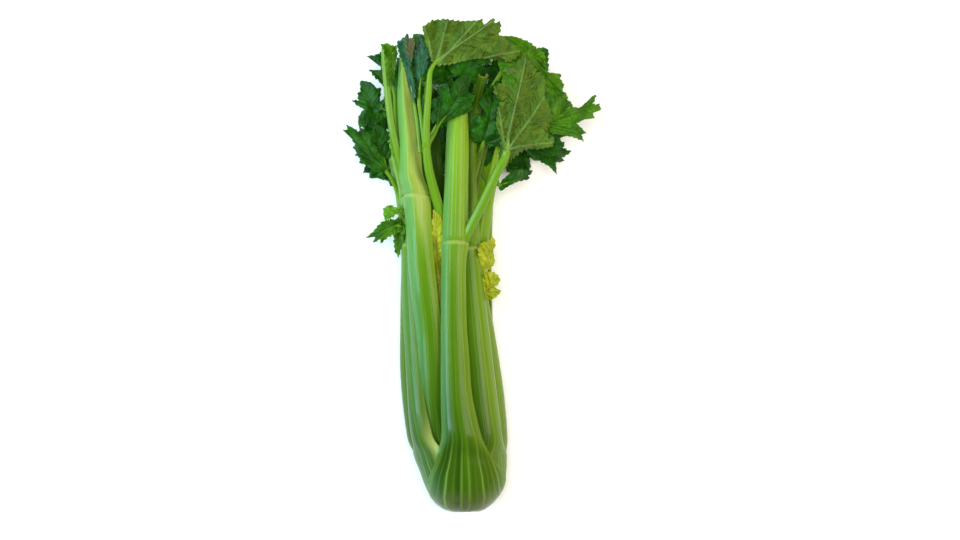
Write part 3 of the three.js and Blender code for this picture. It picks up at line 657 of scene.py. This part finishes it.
# Each leaf: the route of its stem and its midrib, the row where its blade begins (the second unless given), its
# width, the way that its upper side looks (up unless given), its stem's diameter at the stalk and at the blade,
# and its skin (the dark one unless given). Those on the outside have their own outline, its middle and the tips
# of its lobes, seen from above. Some have their own bulge, fold, crumple, pleat and teeth, a stem that starts
# somewhere else than its route (joins) or sags (dip), or a withered place.
LEAVES = {
    "leaf_right_broad": dict(
        route=[[4, 221, 74], [18, 250, 79], [31, 278, 83], [38, 293, 84], [43, 330, 88], [52, 364, 86]],
        blade_at=3, width=58, up=[0.1, 0, -1], stem=(8, 6.5), skin=LEAF_OLIVE, middle=(50, 326), bulge=4,
        crumple=2.0, fold=0.6, tooth=2.8, pleat=2.3, joins=(-3.5, -5, -5.5),
        outline=[(33, 279), (32, 290), (33, 301), (29, 314), (30, 326), (33, 334), (27, 338), (27, 344), (34, 348),
                 (34, 359), (42, 363), (48, 368), (51, 371), (56, 365), (62, 358), (68, 352), (69, 344), (68, 337),
                 (73, 326), (75, 320), (70, 309), (69, 303), (76, 303), (75, 296), (63, 294), (57, 295), (50, 293),
                 (45, 289), (37, 280)],
        tips=[(52, 369), (27, 342), (72, 344), (76, 300), (30, 316)]),
    "leaf_far_right": dict(
        route=[[33, 280, 80], [46, 300, 76], [66, 314, 76], [88, 324, 77], [113, 331, 70]],
        blade_at=2, width=40, up=[0.2, 0, 1], stem=(5, 3), skin=LEAF_BRIGHT, middle=(89, 317), bulge=2,
        outline=[(72, 321), (80, 322), (88, 329), (97, 328), (104, 334), (109, 339), (110, 337), (107, 331),
                 (113, 331), (114, 326), (106, 326), (109, 320), (101, 319), (94, 315), (102, 307), (97, 307),
                 (100, 301), (91, 304), (83, 306), (74, 307), (68, 313)],
        tips=[(113, 330), (109, 338), (109, 320), (102, 307), (100, 301)]),
    "leaf_top": dict(
        route=[[-14, 225, 66], [-22, 262, 72], [-27, 297, 79], [-25, 340, 84], [-21, 362, 87], [2, 376, 92],
               [28, 376, 93], [49, 371, 90]],
        blade_at=4, width=38, up=[0, 0.1, -1], stem=(9, 3.4), skin=LEAF_OLIVE, middle=(4, 380), bulge=3,
        crumple=1.9, fold=0.6, tooth=2.2, pleat=2.1, joins=(7, -12, -9),
        outline=[(-24, 367), (-27, 373), (-28, 380), (-29, 387), (-30.5, 392), (-26, 395), (-22, 398), (-13, 398),
                 (-2, 397.5), (7, 397), (15, 397), (18, 399), (19, 394), (19, 391), (23, 394), (27, 399.5),
                 (29, 395), (31, 394), (33, 397), (33, 390), (31, 386), (37, 383), (44, 378), (49, 372), (46, 367),
                 (40, 364), (28, 366), (18, 367), (9, 366), (0, 364), (-8, 362), (-18, 361), (-22, 363)],
        tips=[(48, 372), (27, 399), (17, 398), (-8, 398), (-29, 391)]),
    "leaf_top_right": dict(
        route=[[22, 338, 66], [38, 362, 71], [54, 372, 74], [74, 352, 73], [90, 328, 70]],
        blade_at=2, width=40, up=[0.15, 0.1, 0.9], stem=(4, 3), skin=LEAF_BRIGHT, middle=(60, 350), bulge=0,
        dip=5,
        outline=[(31, 386), (42, 386), (48, 384.5), (56, 381), (63, 375.5), (68.5, 372), (69, 365), (70, 357),
                 (76, 356), (82, 355.5), (81, 351.5), (84, 347), (82.5, 342), (87, 338.5), (87, 334), (91, 331),
                 (90, 326), (83, 320), (73, 321), (62, 326), (49, 334), (37, 348), (31, 362), (28, 376)],
        tips=[(91, 329), (84, 346), (82, 355), (62, 376), (42, 386)]),
    "leaf_centre": dict(
        route=[[-26, 298, 76], [-20, 308, 75], [-14, 318, 76], [0, 333, 80], [9, 354, 78]],
        width=40, up=[0, -0.1, 1], stem=(4, 3), middle=(-5, 332), bulge=3,
        outline=[(-19, 313), (-18, 326), (-18, 337), (-18, 344), (-11, 348), (-8, 342), (-4, 349), (1, 353.5),
                 (9, 356), (8.5, 348), (6, 341), (13, 337), (9.5, 331), (11, 327), (6, 323.5), (-1, 321),
                 (-11, 317)],
        tips=[(9, 355), (-15, 346), (13, 337), (10, 327)]),
    "leaf_upper_left_inner": dict(
        route=[[-28, 296, 80], [-31, 318, 79], [-33, 335, 80], [-31, 358, 82], [-31, 384, 80]],
        blade_at=2, width=22, up=[-0.9, 0, 0.7], stem=(4, 3), skin=LEAF_TEAL, middle=(-31, 368), bulge=0,
        outline=[(-33, 388.5), (-31.5, 384), (-28, 379), (-25.5, 369), (-26, 362), (-29, 355), (-34.5, 349),
                 (-36.5, 356), (-36.5, 363), (-37, 369), (-35, 376), (-34, 383)],
        tips=[(-33, 388), (-26, 368), (-37, 368)]),
    "leaf_upper_left_outer": dict(
        route=[[-32, 292, 75], [-34, 312, 77], [-37, 332, 78], [-42, 362, 79], [-43, 386, 77]],
        blade_at=2, width=24, up=[-0.7, 0, 0.8], stem=(3.5, 2.6), skin=LEAF_TEAL, middle=(-42.6, 363), bulge=0,
        outline=[(-51, 381), (-46, 384), (-41.5, 388), (-42, 383), (-38, 384.5), (-36, 380), (-38, 370),
                 (-40, 358), (-37, 348), (-36, 337), (-37, 330.5), (-41.5, 345), (-44, 358), (-48, 369),
                 (-50, 376)],
        tips=[(-42, 387), (-50, 380), (-37, 382)], withered=(-39, 377)),
    "leaf_left_tip": dict(
        route=[[-51, 262, 60], [-54, 300, 63], [-59, 345, 66], [-61, 376, 68], [-55, 372, 71],
               [-53, 345, 71]],
        blade_at=4, width=14, up=[0.3, 0, 1], stem=(6.6, 4.4), joins=(7, -5, -2), skin=LEAF_BRIGHT,
        middle=(-55.7, 364), bulge=0,
        outline=[(-64, 379), (-59, 379.3), (-55, 378), (-51.5, 378.5), (-50.5, 372), (-52, 362), (-53, 352),
                 (-56, 342), (-58, 348), (-59, 356), (-60.5, 367), (-61.5, 375)],
        tips=[(-56, 342), (-51, 373)]),
    "leaf_left_shoulder": dict(
        route=[[-50, 296, 58], [-52, 320, 56], [-54, 344, 55], [-64, 358, 55], [-76, 368, 52]],
        blade_at=2, width=30, stem=(4, 3), middle=(-60.5, 359), bulge=1,
        outline=[(-64, 374), (-69, 371.5), (-76, 371), (-71.5, 369), (-64.5, 366.5), (-64, 358), (-69, 357),
                 (-73.5, 359.5), (-69.5, 353.5), (-63, 348), (-58, 345), (-54, 356), (-57, 370)],
        tips=[(-76, 371), (-73.5, 359.5)]),
    "leaf_left_small": dict(
        route=[[-54, 290, 54], [-56, 305, 56], [-58, 322, 56], [-65, 328, 55], [-69, 312, 52]],
        blade_at=2, width=16, up=[-0.4, 0, 0.9], stem=(3, 2), middle=(-63, 325), bulge=0,
        outline=[(-57, 333), (-64.5, 331.5), (-66, 326), (-69.5, 315.5), (-64, 319), (-60.5, 321), (-56, 327)],
        tips=[(-69.5, 315.5), (-65, 331)]),
    "leaf_left_broad": dict(
        route=[[-47, 250, 50], [-54, 268, 52], [-60, 277, 53], [-76, 294, 54], [-95, 313, 48]],
        blade_at=2, width=32, up=[0.2, 0.1, 1], stem=(4, 3), middle=(-76, 294), bulge=2,
        outline=[(-58, 275), (-69, 277), (-79, 284), (-84, 292), (-85.5, 299), (-89, 305), (-95.5, 311),
                 (-91.5, 311.5), (-93, 315.5), (-87, 312.5), (-82, 309), (-82, 314), (-76, 309), (-71, 304),
                 (-68, 296), (-63, 289)],
        tips=[(-94, 313), (-82, 313), (-84, 294)]),
    "leaf_left_pale": dict(
        route=[[-45, 238, 56], [-50, 243, 60], [-63, 245, 58]],
        width=14, up=[0, 0.3, 1], stem=(3, 2), skin=LEAF_PALE, middle=(-56, 244), bulge=1,
        outline=[(-62.5, 247), (-57, 250), (-52, 248), (-47, 245), (-52, 242), (-57, 238), (-60.5, 237),
                 (-62, 241)],
        tips=[(-62.5, 246), (-60, 238), (-57, 250)]),
    "leaf_left_low": dict(
        route=[[-45, 228, 52], [-50, 233, 56], [-62, 230, 54], [-77, 222, 48]],
        width=20, up=[0, 0.2, 1], stem=(3.5, 2.4), skin=LEAF_BRIGHT, middle=(-60, 230), bulge=1,
        outline=[(-48, 236), (-55, 238), (-62, 237), (-67, 233), (-70, 229), (-77, 223), (-69, 224), (-71, 219),
                 (-63, 223), (-65, 218.5), (-58, 224), (-52, 226), (-47, 229)],
        tips=[(-77, 223), (-71, 219), (-65, 219)]),
    "leaf_left_curl": dict(
        route=[[-45, 240, 55], [-51, 236, 53], [-52, 222, 50], [-50, 207, 44]],
        width=14, up=[-0.6, 0, 0.8], stem=(3, 2), skin=LEAF_BRIGHT, middle=(-49, 225), bulge=0,
        outline=[(-53.5, 238), (-48, 240.5), (-44.7, 231), (-43.7, 224), (-47, 218), (-50, 207), (-53, 212),
                 (-54, 221), (-53, 231)],
        tips=[(-50, 207), (-44, 226)]),
    "leaf_right_low": dict(
        route=[[34, 296, 54], [46, 302, 60], [58, 298, 64], [74, 293, 66], [90, 291, 60]],
        width=30, stem=(4, 3), middle=(70, 292), bulge=2,
        outline=[(52, 300), (60, 303), (70, 303), (77, 300), (85, 300.5), (83.5, 296), (90.5, 293), (83, 288),
                 (84.5, 285), (77.5, 284), (78.5, 274.5), (72, 281), (66, 284), (60, 289), (54, 292)],
        tips=[(90, 293), (84, 300), (84, 285), (78.5, 275)]),
    "leaf_right_narrow": dict(
        route=[[29, 270, 50], [33, 266, 52], [46, 272, 52], [59, 277, 47]],
        width=16, up=[-0.2, -0.6, 0.8], stem=(4, 3), middle=(44, 272), bulge=0,
        outline=[(31, 264), (34, 270), (41, 276), (46, 278.5), (53, 278.5), (59.5, 277.5), (55, 273.5),
                 (57, 271.5), (47, 269), (39, 265), (33, 261)],
        tips=[(59, 277), (57, 272)]),
    "heart_leaf_left": dict(
        route=[[-16, 186, 58], [-18, 205, 62], [-19, 230, 66], [-19, 252, 66]],
        blade_at=0, width=18, up=[-0.1, 0, 1], stem=(4, 3), skin=LEAF_HEART),
    "heart_leaf_right_upper": dict(
        route=[[19, 188, 50], [21, 197, 54], [24, 210, 56], [27, 224, 55]],
        width=18, up=[0.4, 0, 0.9], stem=(4, 3), skin=LEAF_HEART, middle=(22.5, 209), bulge=0,
        outline=[(18.6, 195.5), (15, 204), (14.5, 214), (16.5, 219), (22.6, 220), (26, 224), (28, 222.5),
                 (29, 217), (27, 214), (27.6, 208), (28.5, 203), (24.6, 197.5)],
        tips=[(27, 224), (29, 217), (28.5, 203)]),
    "heart_leaf_right_lower": dict(
        route=[[14, 166, 46], [19, 176, 51], [25, 183, 54], [33, 184, 53]],
        width=18, up=[0.1, 0.1, 1], stem=(3, 2.4), skin=LEAF_HEART, middle=(25, 184), bulge=0,
        outline=[(17, 195), (26, 195.5), (29.5, 194), (32.5, 190), (31.5, 186), (28, 183), (33.5, 179.7),
                 (29.5, 175), (25.5, 172.5), (20, 173.3), (17, 179), (16, 187)],
        tips=[(33, 180), (32, 190), (26, 173)]),
    "heart_leaf_middle": dict(
        route=[[-8, 212, 37], [-8, 228, 38], [-6, 248, 40], [-4, 266, 42]],
        blade_at=0, width=16, stem=(4, 3), skin=LEAF_HEART),
    "leaf_middle_tip": dict(
        route=[[-1, 340, 68], [2, 352, 70], [12, 368, 76], [24, 380, 74]],
        width=34, up=[0.2, -0.2, 1], stem=(7, 3)),
    "leaf_inner_right_tip": dict(
        route=[[25, 330, 54], [32, 344, 58], [48, 358, 64], [64, 372, 66]],
        width=44, stem=(5, 3)),
    "leaf_inner_right_inside": dict(
        route=[[14, 288, 52], [19, 300, 64], [26, 322, 70], [30, 350, 70]],
        width=34, stem=(4, 3)),
    "leaf_inner_right_outside": dict(
        route=[[22, 312, 50], [40, 320, 50], [62, 332, 54], [84, 346, 52]],
        width=42, up=[0.1, 0, 1], stem=(4, 3)),
    "leaf_inner_left_tip": dict(
        route=[[-27, 336, 60], [-26, 350, 62], [-18, 368, 64], [-8, 388, 62]],
        width=36, stem=(5, 3)),
    "leaf_inner_left_inside": dict(
        route=[[-27, 300, 56], [-18, 316, 60], [-10, 336, 64], [-8, 352, 64]],
        width=26, stem=(4, 3)),
    "leaf_inner_left_outside": dict(
        route=[[-30, 310, 52], [-42, 326, 46], [-52, 346, 44], [-58, 372, 40]],
        width=32, up=[-0.2, 0, 1], stem=(4, 3)),
    "leaf_side_right_tip": dict(
        route=[[36, 302, 50], [50, 312, 44], [72, 314, 40], [94, 308, 34]],
        width=38, up=[0.3, 0, 1], stem=(5, 3)),
    "leaf_side_left_tip": dict(
        route=[[-58, 298, 20], [-62, 312, 24], [-72, 332, 28], [-82, 352, 24]],
        width=36, up=[-0.3, 0, 1], stem=(5, 3)),
    "leaf_side_left_branch": dict(
        route=[[-50, 262, 22], [-60, 278, 28], [-72, 292, 32], [-88, 298, 26]],
        width=32, up=[-0.3, 0, 1], stem=(4, 3)),
    "leaf_inner_back_right_tip": dict(
        route=[[33, 336, 36], [42, 348, 36], [56, 362, 34], [72, 378, 26]],
        width=42, up=[0.3, 0.2, 1], stem=(5, 3)),
    "leaf_inner_back_right_inside": dict(
        route=[[24, 310, 32], [16, 328, 38], [10, 348, 44], [6, 374, 46]],
        width=36, stem=(4, 3)),
    "leaf_inner_back_left_tip": dict(
        route=[[-24, 342, 36], [-26, 356, 38], [-32, 374, 38], [-38, 390, 32]],
        width=40, up=[-0.2, 0.1, 1], stem=(5, 3)),
    "leaf_inner_back_left_inside": dict(
        route=[[-22, 308, 32], [-14, 326, 36], [-6, 342, 34], [4, 360, 28]],
        width=30, stem=(4, 3)),
    "leaf_back_right_tip": dict(
        route=[[30, 302, 12], [38, 318, 13], [50, 340, 12], [62, 364, 4]],
        width=44, up=[0.1, 0, 1], stem=(5, 3)),
    "leaf_back_right_branch": dict(
        route=[[22, 268, 9], [36, 284, 14], [54, 296, 12], [76, 304, 4]],
        width=36, up=[0.1, 0, 1], stem=(5, 3)),
    "leaf_back_right_inside": dict(
        route=[[22, 270, 11], [15, 284, 16], [14, 310, 18], [18, 346, 12]],
        width=34, stem=(4, 3)),
    "leaf_back_left_tip": dict(
        route=[[-36, 302, 11], [-40, 320, 13], [-44, 344, 12], [-52, 372, 4]],
        width=44, stem=(5, 3)),
    "leaf_back_left_branch": dict(
        route=[[-30, 266, 9], [-44, 276, 10], [-62, 290, 9], [-82, 304, 3]],
        width=34, up=[-0.1, 0, 1], stem=(5, 3)),
    "leaf_back_left_inside": dict(
        route=[[-30, 268, 11], [-22, 280, 16], [-16, 306, 20], [-14, 342, 16]],
        width=32, stem=(4, 3)),
}


# Side leaflets, each part of its leaf: route and width
LEAFLETS = {
    "leaf_inner_left_tip": dict(route=[[-26, 350, 62], [-29, 347, 60], [-31, 341, 57], [-31, 332, 54]], width=18),
    "leaf_left_broad": dict(route=[[-60, 277, 52], [-62, 288, 51], [-65, 300, 48], [-68, 316, 44]], width=24),
}


def leaf_margin(outline, samples, seed, tooth):
    """A leaf's margin: points evenly spaced along its outline, pushed outwards into teeth.

    A tooth rises in a straight line over its length and drops back, so the margin is a saw, and the teeth's height
    swells and shrinks along it by a third.
    """
    corners = np.array(outline, float)
    closed = np.vstack([corners, corners[:1]])
    lengths = np.concatenate([[0], np.cumsum(np.linalg.norm(np.diff(closed, axis=0), axis=1))])
    place = np.linspace(0, lengths[-1], samples, endpoint=False)
    points = np.stack([np.interp(place, lengths, closed[:, k]) for k in (0, 1)], axis=1)
    ahead, behind = np.roll(points, -2, axis=0), np.roll(points, 2, axis=0)
    tangent = unit(ahead - behind)
    normal = np.stack([tangent[:, 1], -tangent[:, 0]], axis=1)
    middle = points.mean(axis=0)
    normal *= np.sign((normal * (points - middle)).sum())
    teeth = max(int(lengths[-1] / TOOTH), 6)
    rise = (place / lengths[-1] * teeth + 0.07 * seed) % 1.0
    uneven = 0.65 + 0.35 * np.sin(0.11 * place + seed)
    return points + normal * (tooth * uneven * (rise - 0.45))[:, None]


def vein_fields(points, base, tips):
    """How much of a vein each point lies on, and how far up the quilting between veins has risen.

    A main vein runs from the base to each lobe's tip, swayed by 1.3 sin, and a point belongs to the vein that it
    is nearest to in angle. Side veins leave it at a slant, so they are where (along - 0.7 |across| - 0.012
    across^2), bent a little by two sines, is a whole number of spacings, and between two of them the blade
    rises as a half sine.
    """
    nearest = np.full(len(points), 9.0)
    along, across, reach = (np.zeros(len(points)) for _ in range(3))
    for tip in tips:
        direction = tip - base
        length = np.linalg.norm(direction)
        direction = direction / length
        offset = points - base
        a = offset @ direction
        c = offset @ np.array([direction[1], -direction[0]]) + 1.3 * np.sin(3.1 * a / length + tip[0])
        angle = np.abs(np.arctan2(c, a))
        better = angle < nearest
        nearest, along, across = (np.where(better, new, old) for new, old in (
            (angle, nearest), (a, along), (c, across)))
        reach = np.where(better, a / length, reach)
    main = bell(across, 0, 0.75 * (1.15 - 0.7 * np.clip(reach, 0, 1)))
    bend = 0.9 * np.sin(0.31 * points[:, 0] + 0.17 * points[:, 1]) + 0.7 * np.sin(0.43 * points[:, 1])
    phase = (along - 0.7 * np.abs(across) - 0.012 * across**2 + bend) / VEIN_SPACING
    share = phase - np.floor(phase)
    side = bell(np.minimum(share, 1 - share) * VEIN_SPACING, 0, 0.42) * smooth(-1, 4, along)
    quilt = np.sin(np.pi * share) ** 0.8 * (1 - bell(across, 0, 1.4))
    return np.maximum(main, 0.4 * side), quilt, np.abs(across)


def grow_leaf(name, leaf, seed, part=""):
    """A leaf's blade, closed: rings from its middle out to its margin, once for each of its two skins.

    Seen from above a point is middle + rho (margin - middle). Its height follows the midrib's, at the share of
    the way from foot to tip, plus the tilt of the upper side across it, a bulge that falls off towards the margin
    as 1 - rho^2, a fold that rises with the distance from the nearest main vein, ruffles that grow with rho^2,
    four crumples that are sines in directions of their own, and pleats between the side veins. The skins lie
    half the thickness times sqrt(1 - rho^8) each way along the blade's normal, so they come together at the
    margin. A stem carries on under it as its midrib.
    """
    random = np.random.default_rng(100 + seed)
    route = np.array(leaf["route"], float)
    start_row = leaf.get("blade_at", 1)
    foot = start_row / (len(route) - 1)
    own = "outline" in leaf
    samples, rings = (300, 34) if own else (150, 20)
    base, tip = route[start_row, :2], route[-1, :2]
    ahead = (tip - base) / np.linalg.norm(tip - base)
    right = np.array([ahead[1], -ahead[0]])
    length = np.linalg.norm(tip - base)
    if own:
        margin = leaf_margin(leaf["outline"], samples, seed, leaf.get("tooth", 1.6))
        middle = np.array(leaf["middle"], float)
        tips = [np.array(t, float) for t in leaf["tips"]]
    else:
        half = np.array(LEAF_HALF)
        sides = [half * [1, 1] * random.uniform(0.9, 1.08, half.shape), half[::-1] * [-1, 1] * random.uniform(
            0.9, 1.08, half.shape)]
        template = np.vstack([sides[0], [[0, 1.02]], sides[1]])
        flat = template * [leaf["width"] / 2, length]
        margin = leaf_margin(flat, samples, seed, 1.6)
        middle = np.array([0, 0.42 * length])
        tips = [np.array(t) * [leaf["width"] / 2, length] for t in (
            (0, 1.0), (0.95, 0.33), (-0.95, 0.33), (0.9, 0.1), (-0.9, 0.1))]
    share = np.linspace(0, 1, rings + 1)[1:] ** 0.85
    plan = middle + share[:, None, None] * (margin - middle)
    plan = np.vstack([middle[None], plan.reshape(-1, 2)])
    rho = np.concatenate([[0], np.repeat(share, samples)])
    if own:
        veins, quilt, off_vein = vein_fields(plan, base, tips)
        along, across = (plan - base) @ ahead / length, (plan - base) @ right
    else:
        veins, quilt, off_vein = vein_fields(plan, np.zeros(2), tips)
        along, across = plan[:, 1] / length, plan[:, 0]
    on_route = foot + np.clip(along, -0.1, 1.08) * (1 - foot)
    spine = through(route, np.clip(on_route, 0, 1))
    if not own:
        slope = through(route, np.clip(on_route + 0.01, 0, 1)) - through(route, np.clip(on_route - 0.01, 0, 1))
        heading = unit(slope[:, :2])
        plan = spine[:, :2] + across[:, None] * np.stack([heading[:, 1], -heading[:, 0]], axis=1)
        plan += np.clip(along, None, 0)[:, None] * length * heading
    up = np.array(leaf.get("up", (0, 0, 1)), float)
    tilt = -(up[:2] @ right) / up[2]
    wide = across / (leaf["width"] / 2)
    turns = random.integers(5, 8)
    around = np.concatenate([[0], np.tile(np.linspace(0, 2 * np.pi, samples, endpoint=False), rings)])
    ruffle = RUFFLE * rho**2 * np.minimum(wide**2 * 2.5, 1) * (
        np.sin(turns * around + random.uniform(0, 6)) + 0.5 * np.sin((2 * turns + 1) * around + seed))
    face = np.sign(up[2])
    bulge = leaf.get("bulge", 2.0) * (1 - rho**2)
    # each lobe is a gutter along its main vein, and the blade stands in ridges between one lobe and the next
    fold = face * leaf.get("fold", 0.42) * np.minimum(off_vein, 9) * smooth(0, 0.25, rho)
    # crumples: four waves of 9 to 21 mm in directions of their own, stronger towards the margin
    ways = random.uniform(0, np.pi, len(CRUMPLE_LENGTHS))
    crumple = leaf.get("crumple", 1.0) * (0.35 + 0.65 * rho) * sum(
        size * np.sin(2 * np.pi * (plan[:, 0] * np.cos(way) + plan[:, 1] * np.sin(way)) / long + seed)
        for way, long, size in zip(ways, CRUMPLE_LENGTHS, CRUMPLE_SIZES))
    pleats = face * leaf.get("pleat", 0.75) * quilt * (1 - rho**6)
    height = spine[:, 2] + tilt * across + bulge + fold + ruffle + crumple + pleats
    centre = np.column_stack([plan, height])

    # normals from the rings' own neighbours: along the margin and out from the middle
    sheet = centre[1:].reshape(rings, samples, 3)
    outwards = np.gradient(sheet, axis=0)
    onwards = (np.roll(sheet, -1, axis=1) - np.roll(sheet, 1, axis=1)) / 2
    normals = unit(np.cross(outwards, onwards))
    normals *= np.sign(normals[..., 2].sum())
    pole = unit(normals[0].mean(axis=0))
    normals = np.vstack([pole[None], normals.reshape(-1, 3)])
    thin = (BLADE_THICKNESS / 2 * np.sqrt(np.maximum(1 - rho**8, 0)))[:, None]
    top, bottom = centre + normals * thin, centre - normals * thin
    inner = len(centre) - samples
    points = np.vstack([top, bottom[:inner]])
    j = np.arange(samples)
    k = (j + 1) % samples
    fan = np.stack([np.zeros(samples, int), 1 + j, 1 + k], axis=1)
    quads = ring_quads(rings, samples) + 1
    lower = ring_quads(rings, samples) + 1 + len(top)
    lower = np.where(lower >= len(points), lower - len(top), lower)
    lower_fan = np.stack([np.full(samples, len(top)), len(top) + 1 + k, len(top) + 1 + j], axis=1)
    # the signed area of the margin tells which way round its points run
    onward = np.roll(margin, -1, axis=0)
    if (margin[:, 0] * onward[:, 1] - margin[:, 1] * onward[:, 0]).sum() > 0:
        faces = [fan, quads[:, [0, 3, 2, 1]], lower, lower_fan]
    else:
        faces = [fan[:, ::-1], quads, lower[:, [0, 3, 2, 1]], lower_fan[:, ::-1]]

    def both(values):
        """A value for each point of the upper skin, then again for those of the lower, whose margin is shared."""
        return np.concatenate([values, values[:inner]])

    # painted shade: hollow is where the crumples sink away from the side that looks out, and beside the side veins
    hollow = 0.45 * smooth(0.2, -1.6, crumple * face) + 0.55 * smooth(0.5, 0.05, quilt) * (1 - rho**4)
    withered = np.zeros(len(centre))
    if "withered" in leaf:
        withered = 0.85 * smooth(11, 4, np.linalg.norm((plan - leaf["withered"]) * [1.6, 0.8], axis=1))
    attributes = {
        "under": np.repeat([0.0, 1.0] if face > 0 else [1.0, 0.0], [len(top), inner]),
        "vein": both(veins), "pucker": both(quilt), "rim": both(smooth(0.86, 1.0, rho)),
        "withered": both(withered), "hollow": both(hollow),
    }
    slot = "heart_leaf" if name.startswith("heart") else "leaf_green"
    add_piece(name + part + "_blade", points, faces, leaf.get("skin", LEAF_DARK), name, slot, attributes)
    grow_stem(name, leaf, foot, face, seed, part)


def grow_stem(name, leaf, foot, face, seed, part):
    """A leaf's stem, closed at both ends: a ribbed round profile carried along the leaf's route.

    At share t of the stem and turn a: the route plus r(t) (1 + 0.07 cos 7 a) times (cos a across, 0.85 sin a up).
    r falls from half the first diameter to half the second at the foot of the blade, and to a hair under it. The
    stem stays on the underside there, sags by its dip before it, and eases to where it joins its stalk.
    """
    route = np.array(leaf["route"], float)
    reach = foot + (0.45 if face > 0 else 0.16) * (1 - foot)
    t = np.linspace(0, 1, STEM_STEPS)
    u = t * reach
    middle = through(route, u)
    tangent = unit(np.gradient(middle, axis=0))
    up = np.array([0.0, 0.0, 1.0])
    upward = unit(up - (tangent @ up)[:, None] * tangent)
    sideways = np.cross(tangent, upward)
    start, end = leaf["stem"]
    if foot > 0:
        radius = np.where(u < foot, np.interp(u, [0, foot], [start / 2, end / 2]),
                          np.interp(u, [foot, reach], [end / 2, 0.25]) * 0.8 + 0.2 * 0.25)
    else:
        radius = np.interp(u, [0, reach], [start / 3, 0.25])
    radius = radius * (1 + 0.35 * bell(t, 0, 0.05))
    under = smooth(foot - 0.03, foot + 0.05, u)
    middle[:, 2] -= face * under * (0.55 * radius if face < 0 else radius + 0.4)
    if "dip" in leaf:
        middle[:, 2] -= leaf["dip"] * smooth(0.2 * foot, 0.8 * foot, u)
    middle += smooth(0.34, 0.0, t)[:, None] * np.array(leaf.get("joins", (0, 0, 0)))
    middle[:, 2] += leaf.get("bulge", 2.0) * under * smooth(foot, foot + 0.3 * (1 - foot), u) * 0.55
    a = np.linspace(0, 2 * np.pi, STEM_AROUND, endpoint=False)
    wave = 1 + 0.07 * np.cos(7 * a + seed)
    points = middle[:, None] + radius[:, None, None] * wave[None, :, None] * (
        np.cos(a)[None, :, None] * sideways[:, None] + 0.85 * np.sin(a)[None, :, None] * upward[:, None])
    lengths = np.concatenate([[0], np.cumsum(np.linalg.norm(np.diff(middle, axis=0), axis=1))])
    shape = points.shape[:2]
    attributes = dict.fromkeys(("pale", "left", "right", "ring", "cut"), with_ends(0, shape))
    attributes |= {
        "across_mm": with_ends(radius[:, None] * np.abs(a - np.pi) + 60 * seed, shape),
        "along_mm": with_ends(lengths[:, None] + 150, shape, 150, 200),
        "rib": with_ends(0.5 + 0.5 * np.cos(7 * a + seed), shape),
    }
    material = HEART_SKIN if name.startswith("heart") else STEM_SKIN
    add_piece(name + part + "_stem", *closed_tube(points), material, name, "stalk_skin", attributes)


for number, (leaf_name, leaf_data) in enumerate(LEAVES.items()):
    grow_leaf(leaf_name, leaf_data, number + 1)
for number, (leaf_name, leaflet) in enumerate(LEAFLETS.items()):
    grow_leaf(leaf_name, dict(leaflet, stem=(3, 2)), 60 + number, "_leaflet")


# ---------------------------------------------------------------- floor, lights and camera

def add_light(name, place, aim, size, power, colour, mirrored=True):
    """A square softbox at a place in metres, turned to look at a point, that no camera sees.

    One that isn't mirrored lights the skins without showing in their gloss.
    """
    light = bpy.data.lights.new(name, "AREA")
    light.size = size
    light.energy = power
    light.color = linear(colour)[:3]
    box = bpy.data.objects.new(name, light)
    box.location = place
    box.rotation_euler = (Vector(aim) - Vector(place)).to_track_quat("-Z", "Y").to_euler()
    box.visible_camera = False
    box.visible_glossy = mirrored
    bpy.context.scene.collection.objects.link(box)


FLOOR_HALF = 6  # metres
floor_mesh = bpy.data.meshes.new("floor")
floor_mesh.from_pydata([(x * FLOOR_HALF, y * FLOOR_HALF, 0) for x, y in ((-1, -1), (1, -1), (1, 1), (-1, 1))], [],
                       [(0, 1, 2, 3)])
floor_mesh.materials.append(painted_floor())
floor = bpy.data.objects.new("floor", floor_mesh)
bpy.context.scene.collection.objects.link(floor)

add_light("window_left", (-1.05, 0.1, 0.95), (0, 0, 0.05), 0.6, 14, "#eaf8ff")
add_light("lamp_right", (0.95, 0.1, 1.1), (0, 0, 0.05), 0.7, 14.5, "#fff4e0")
add_light("overhead", (0.0, 0.2, 3.5), (0, 0, 0), 1.0, 66, "#ffffff", mirrored=False)
add_light("low_window_left", (-1.3, -0.05, 0.62), (0, 0, 0.06), 0.34, 8, "#9cf0ff")

world = bpy.data.worlds.new("pale_room")
world.use_nodes = True
background = world.node_tree.nodes["Background"]
background.inputs["Color"].default_value = linear("#f4f7fb")
background.inputs["Strength"].default_value = 0.22
bpy.context.scene.world = world
bpy.context.scene.view_settings.view_transform = "Standard"

CAMERA_HEIGHT = 3.2
FIELD_WIDTH = 0.7786  # what the frame's width covers at the head's middle height
HEAD_MIDDLE_HEIGHT = 0.06
VIEW_X, VIEW_Y = 16.2, 197.0  # what the camera looks straight down at, in the tables' axes
SENSOR_WIDTH = 36.0
camera_data = bpy.data.cameras.new("camera")
camera_data.sensor_width = SENSOR_WIDTH
camera_data.lens = SENSOR_WIDTH * (CAMERA_HEIGHT - HEAD_MIDDLE_HEIGHT) / FIELD_WIDTH
camera_data.clip_end = 20
camera = bpy.data.objects.new("camera", camera_data)
camera.location = ((VIEW_X + TO_FRAME[0]) / 1000, (VIEW_Y + TO_FRAME[1]) / 1000, CAMERA_HEIGHT)
bpy.context.scene.collection.objects.link(camera)
bpy.context.scene.camera = camera
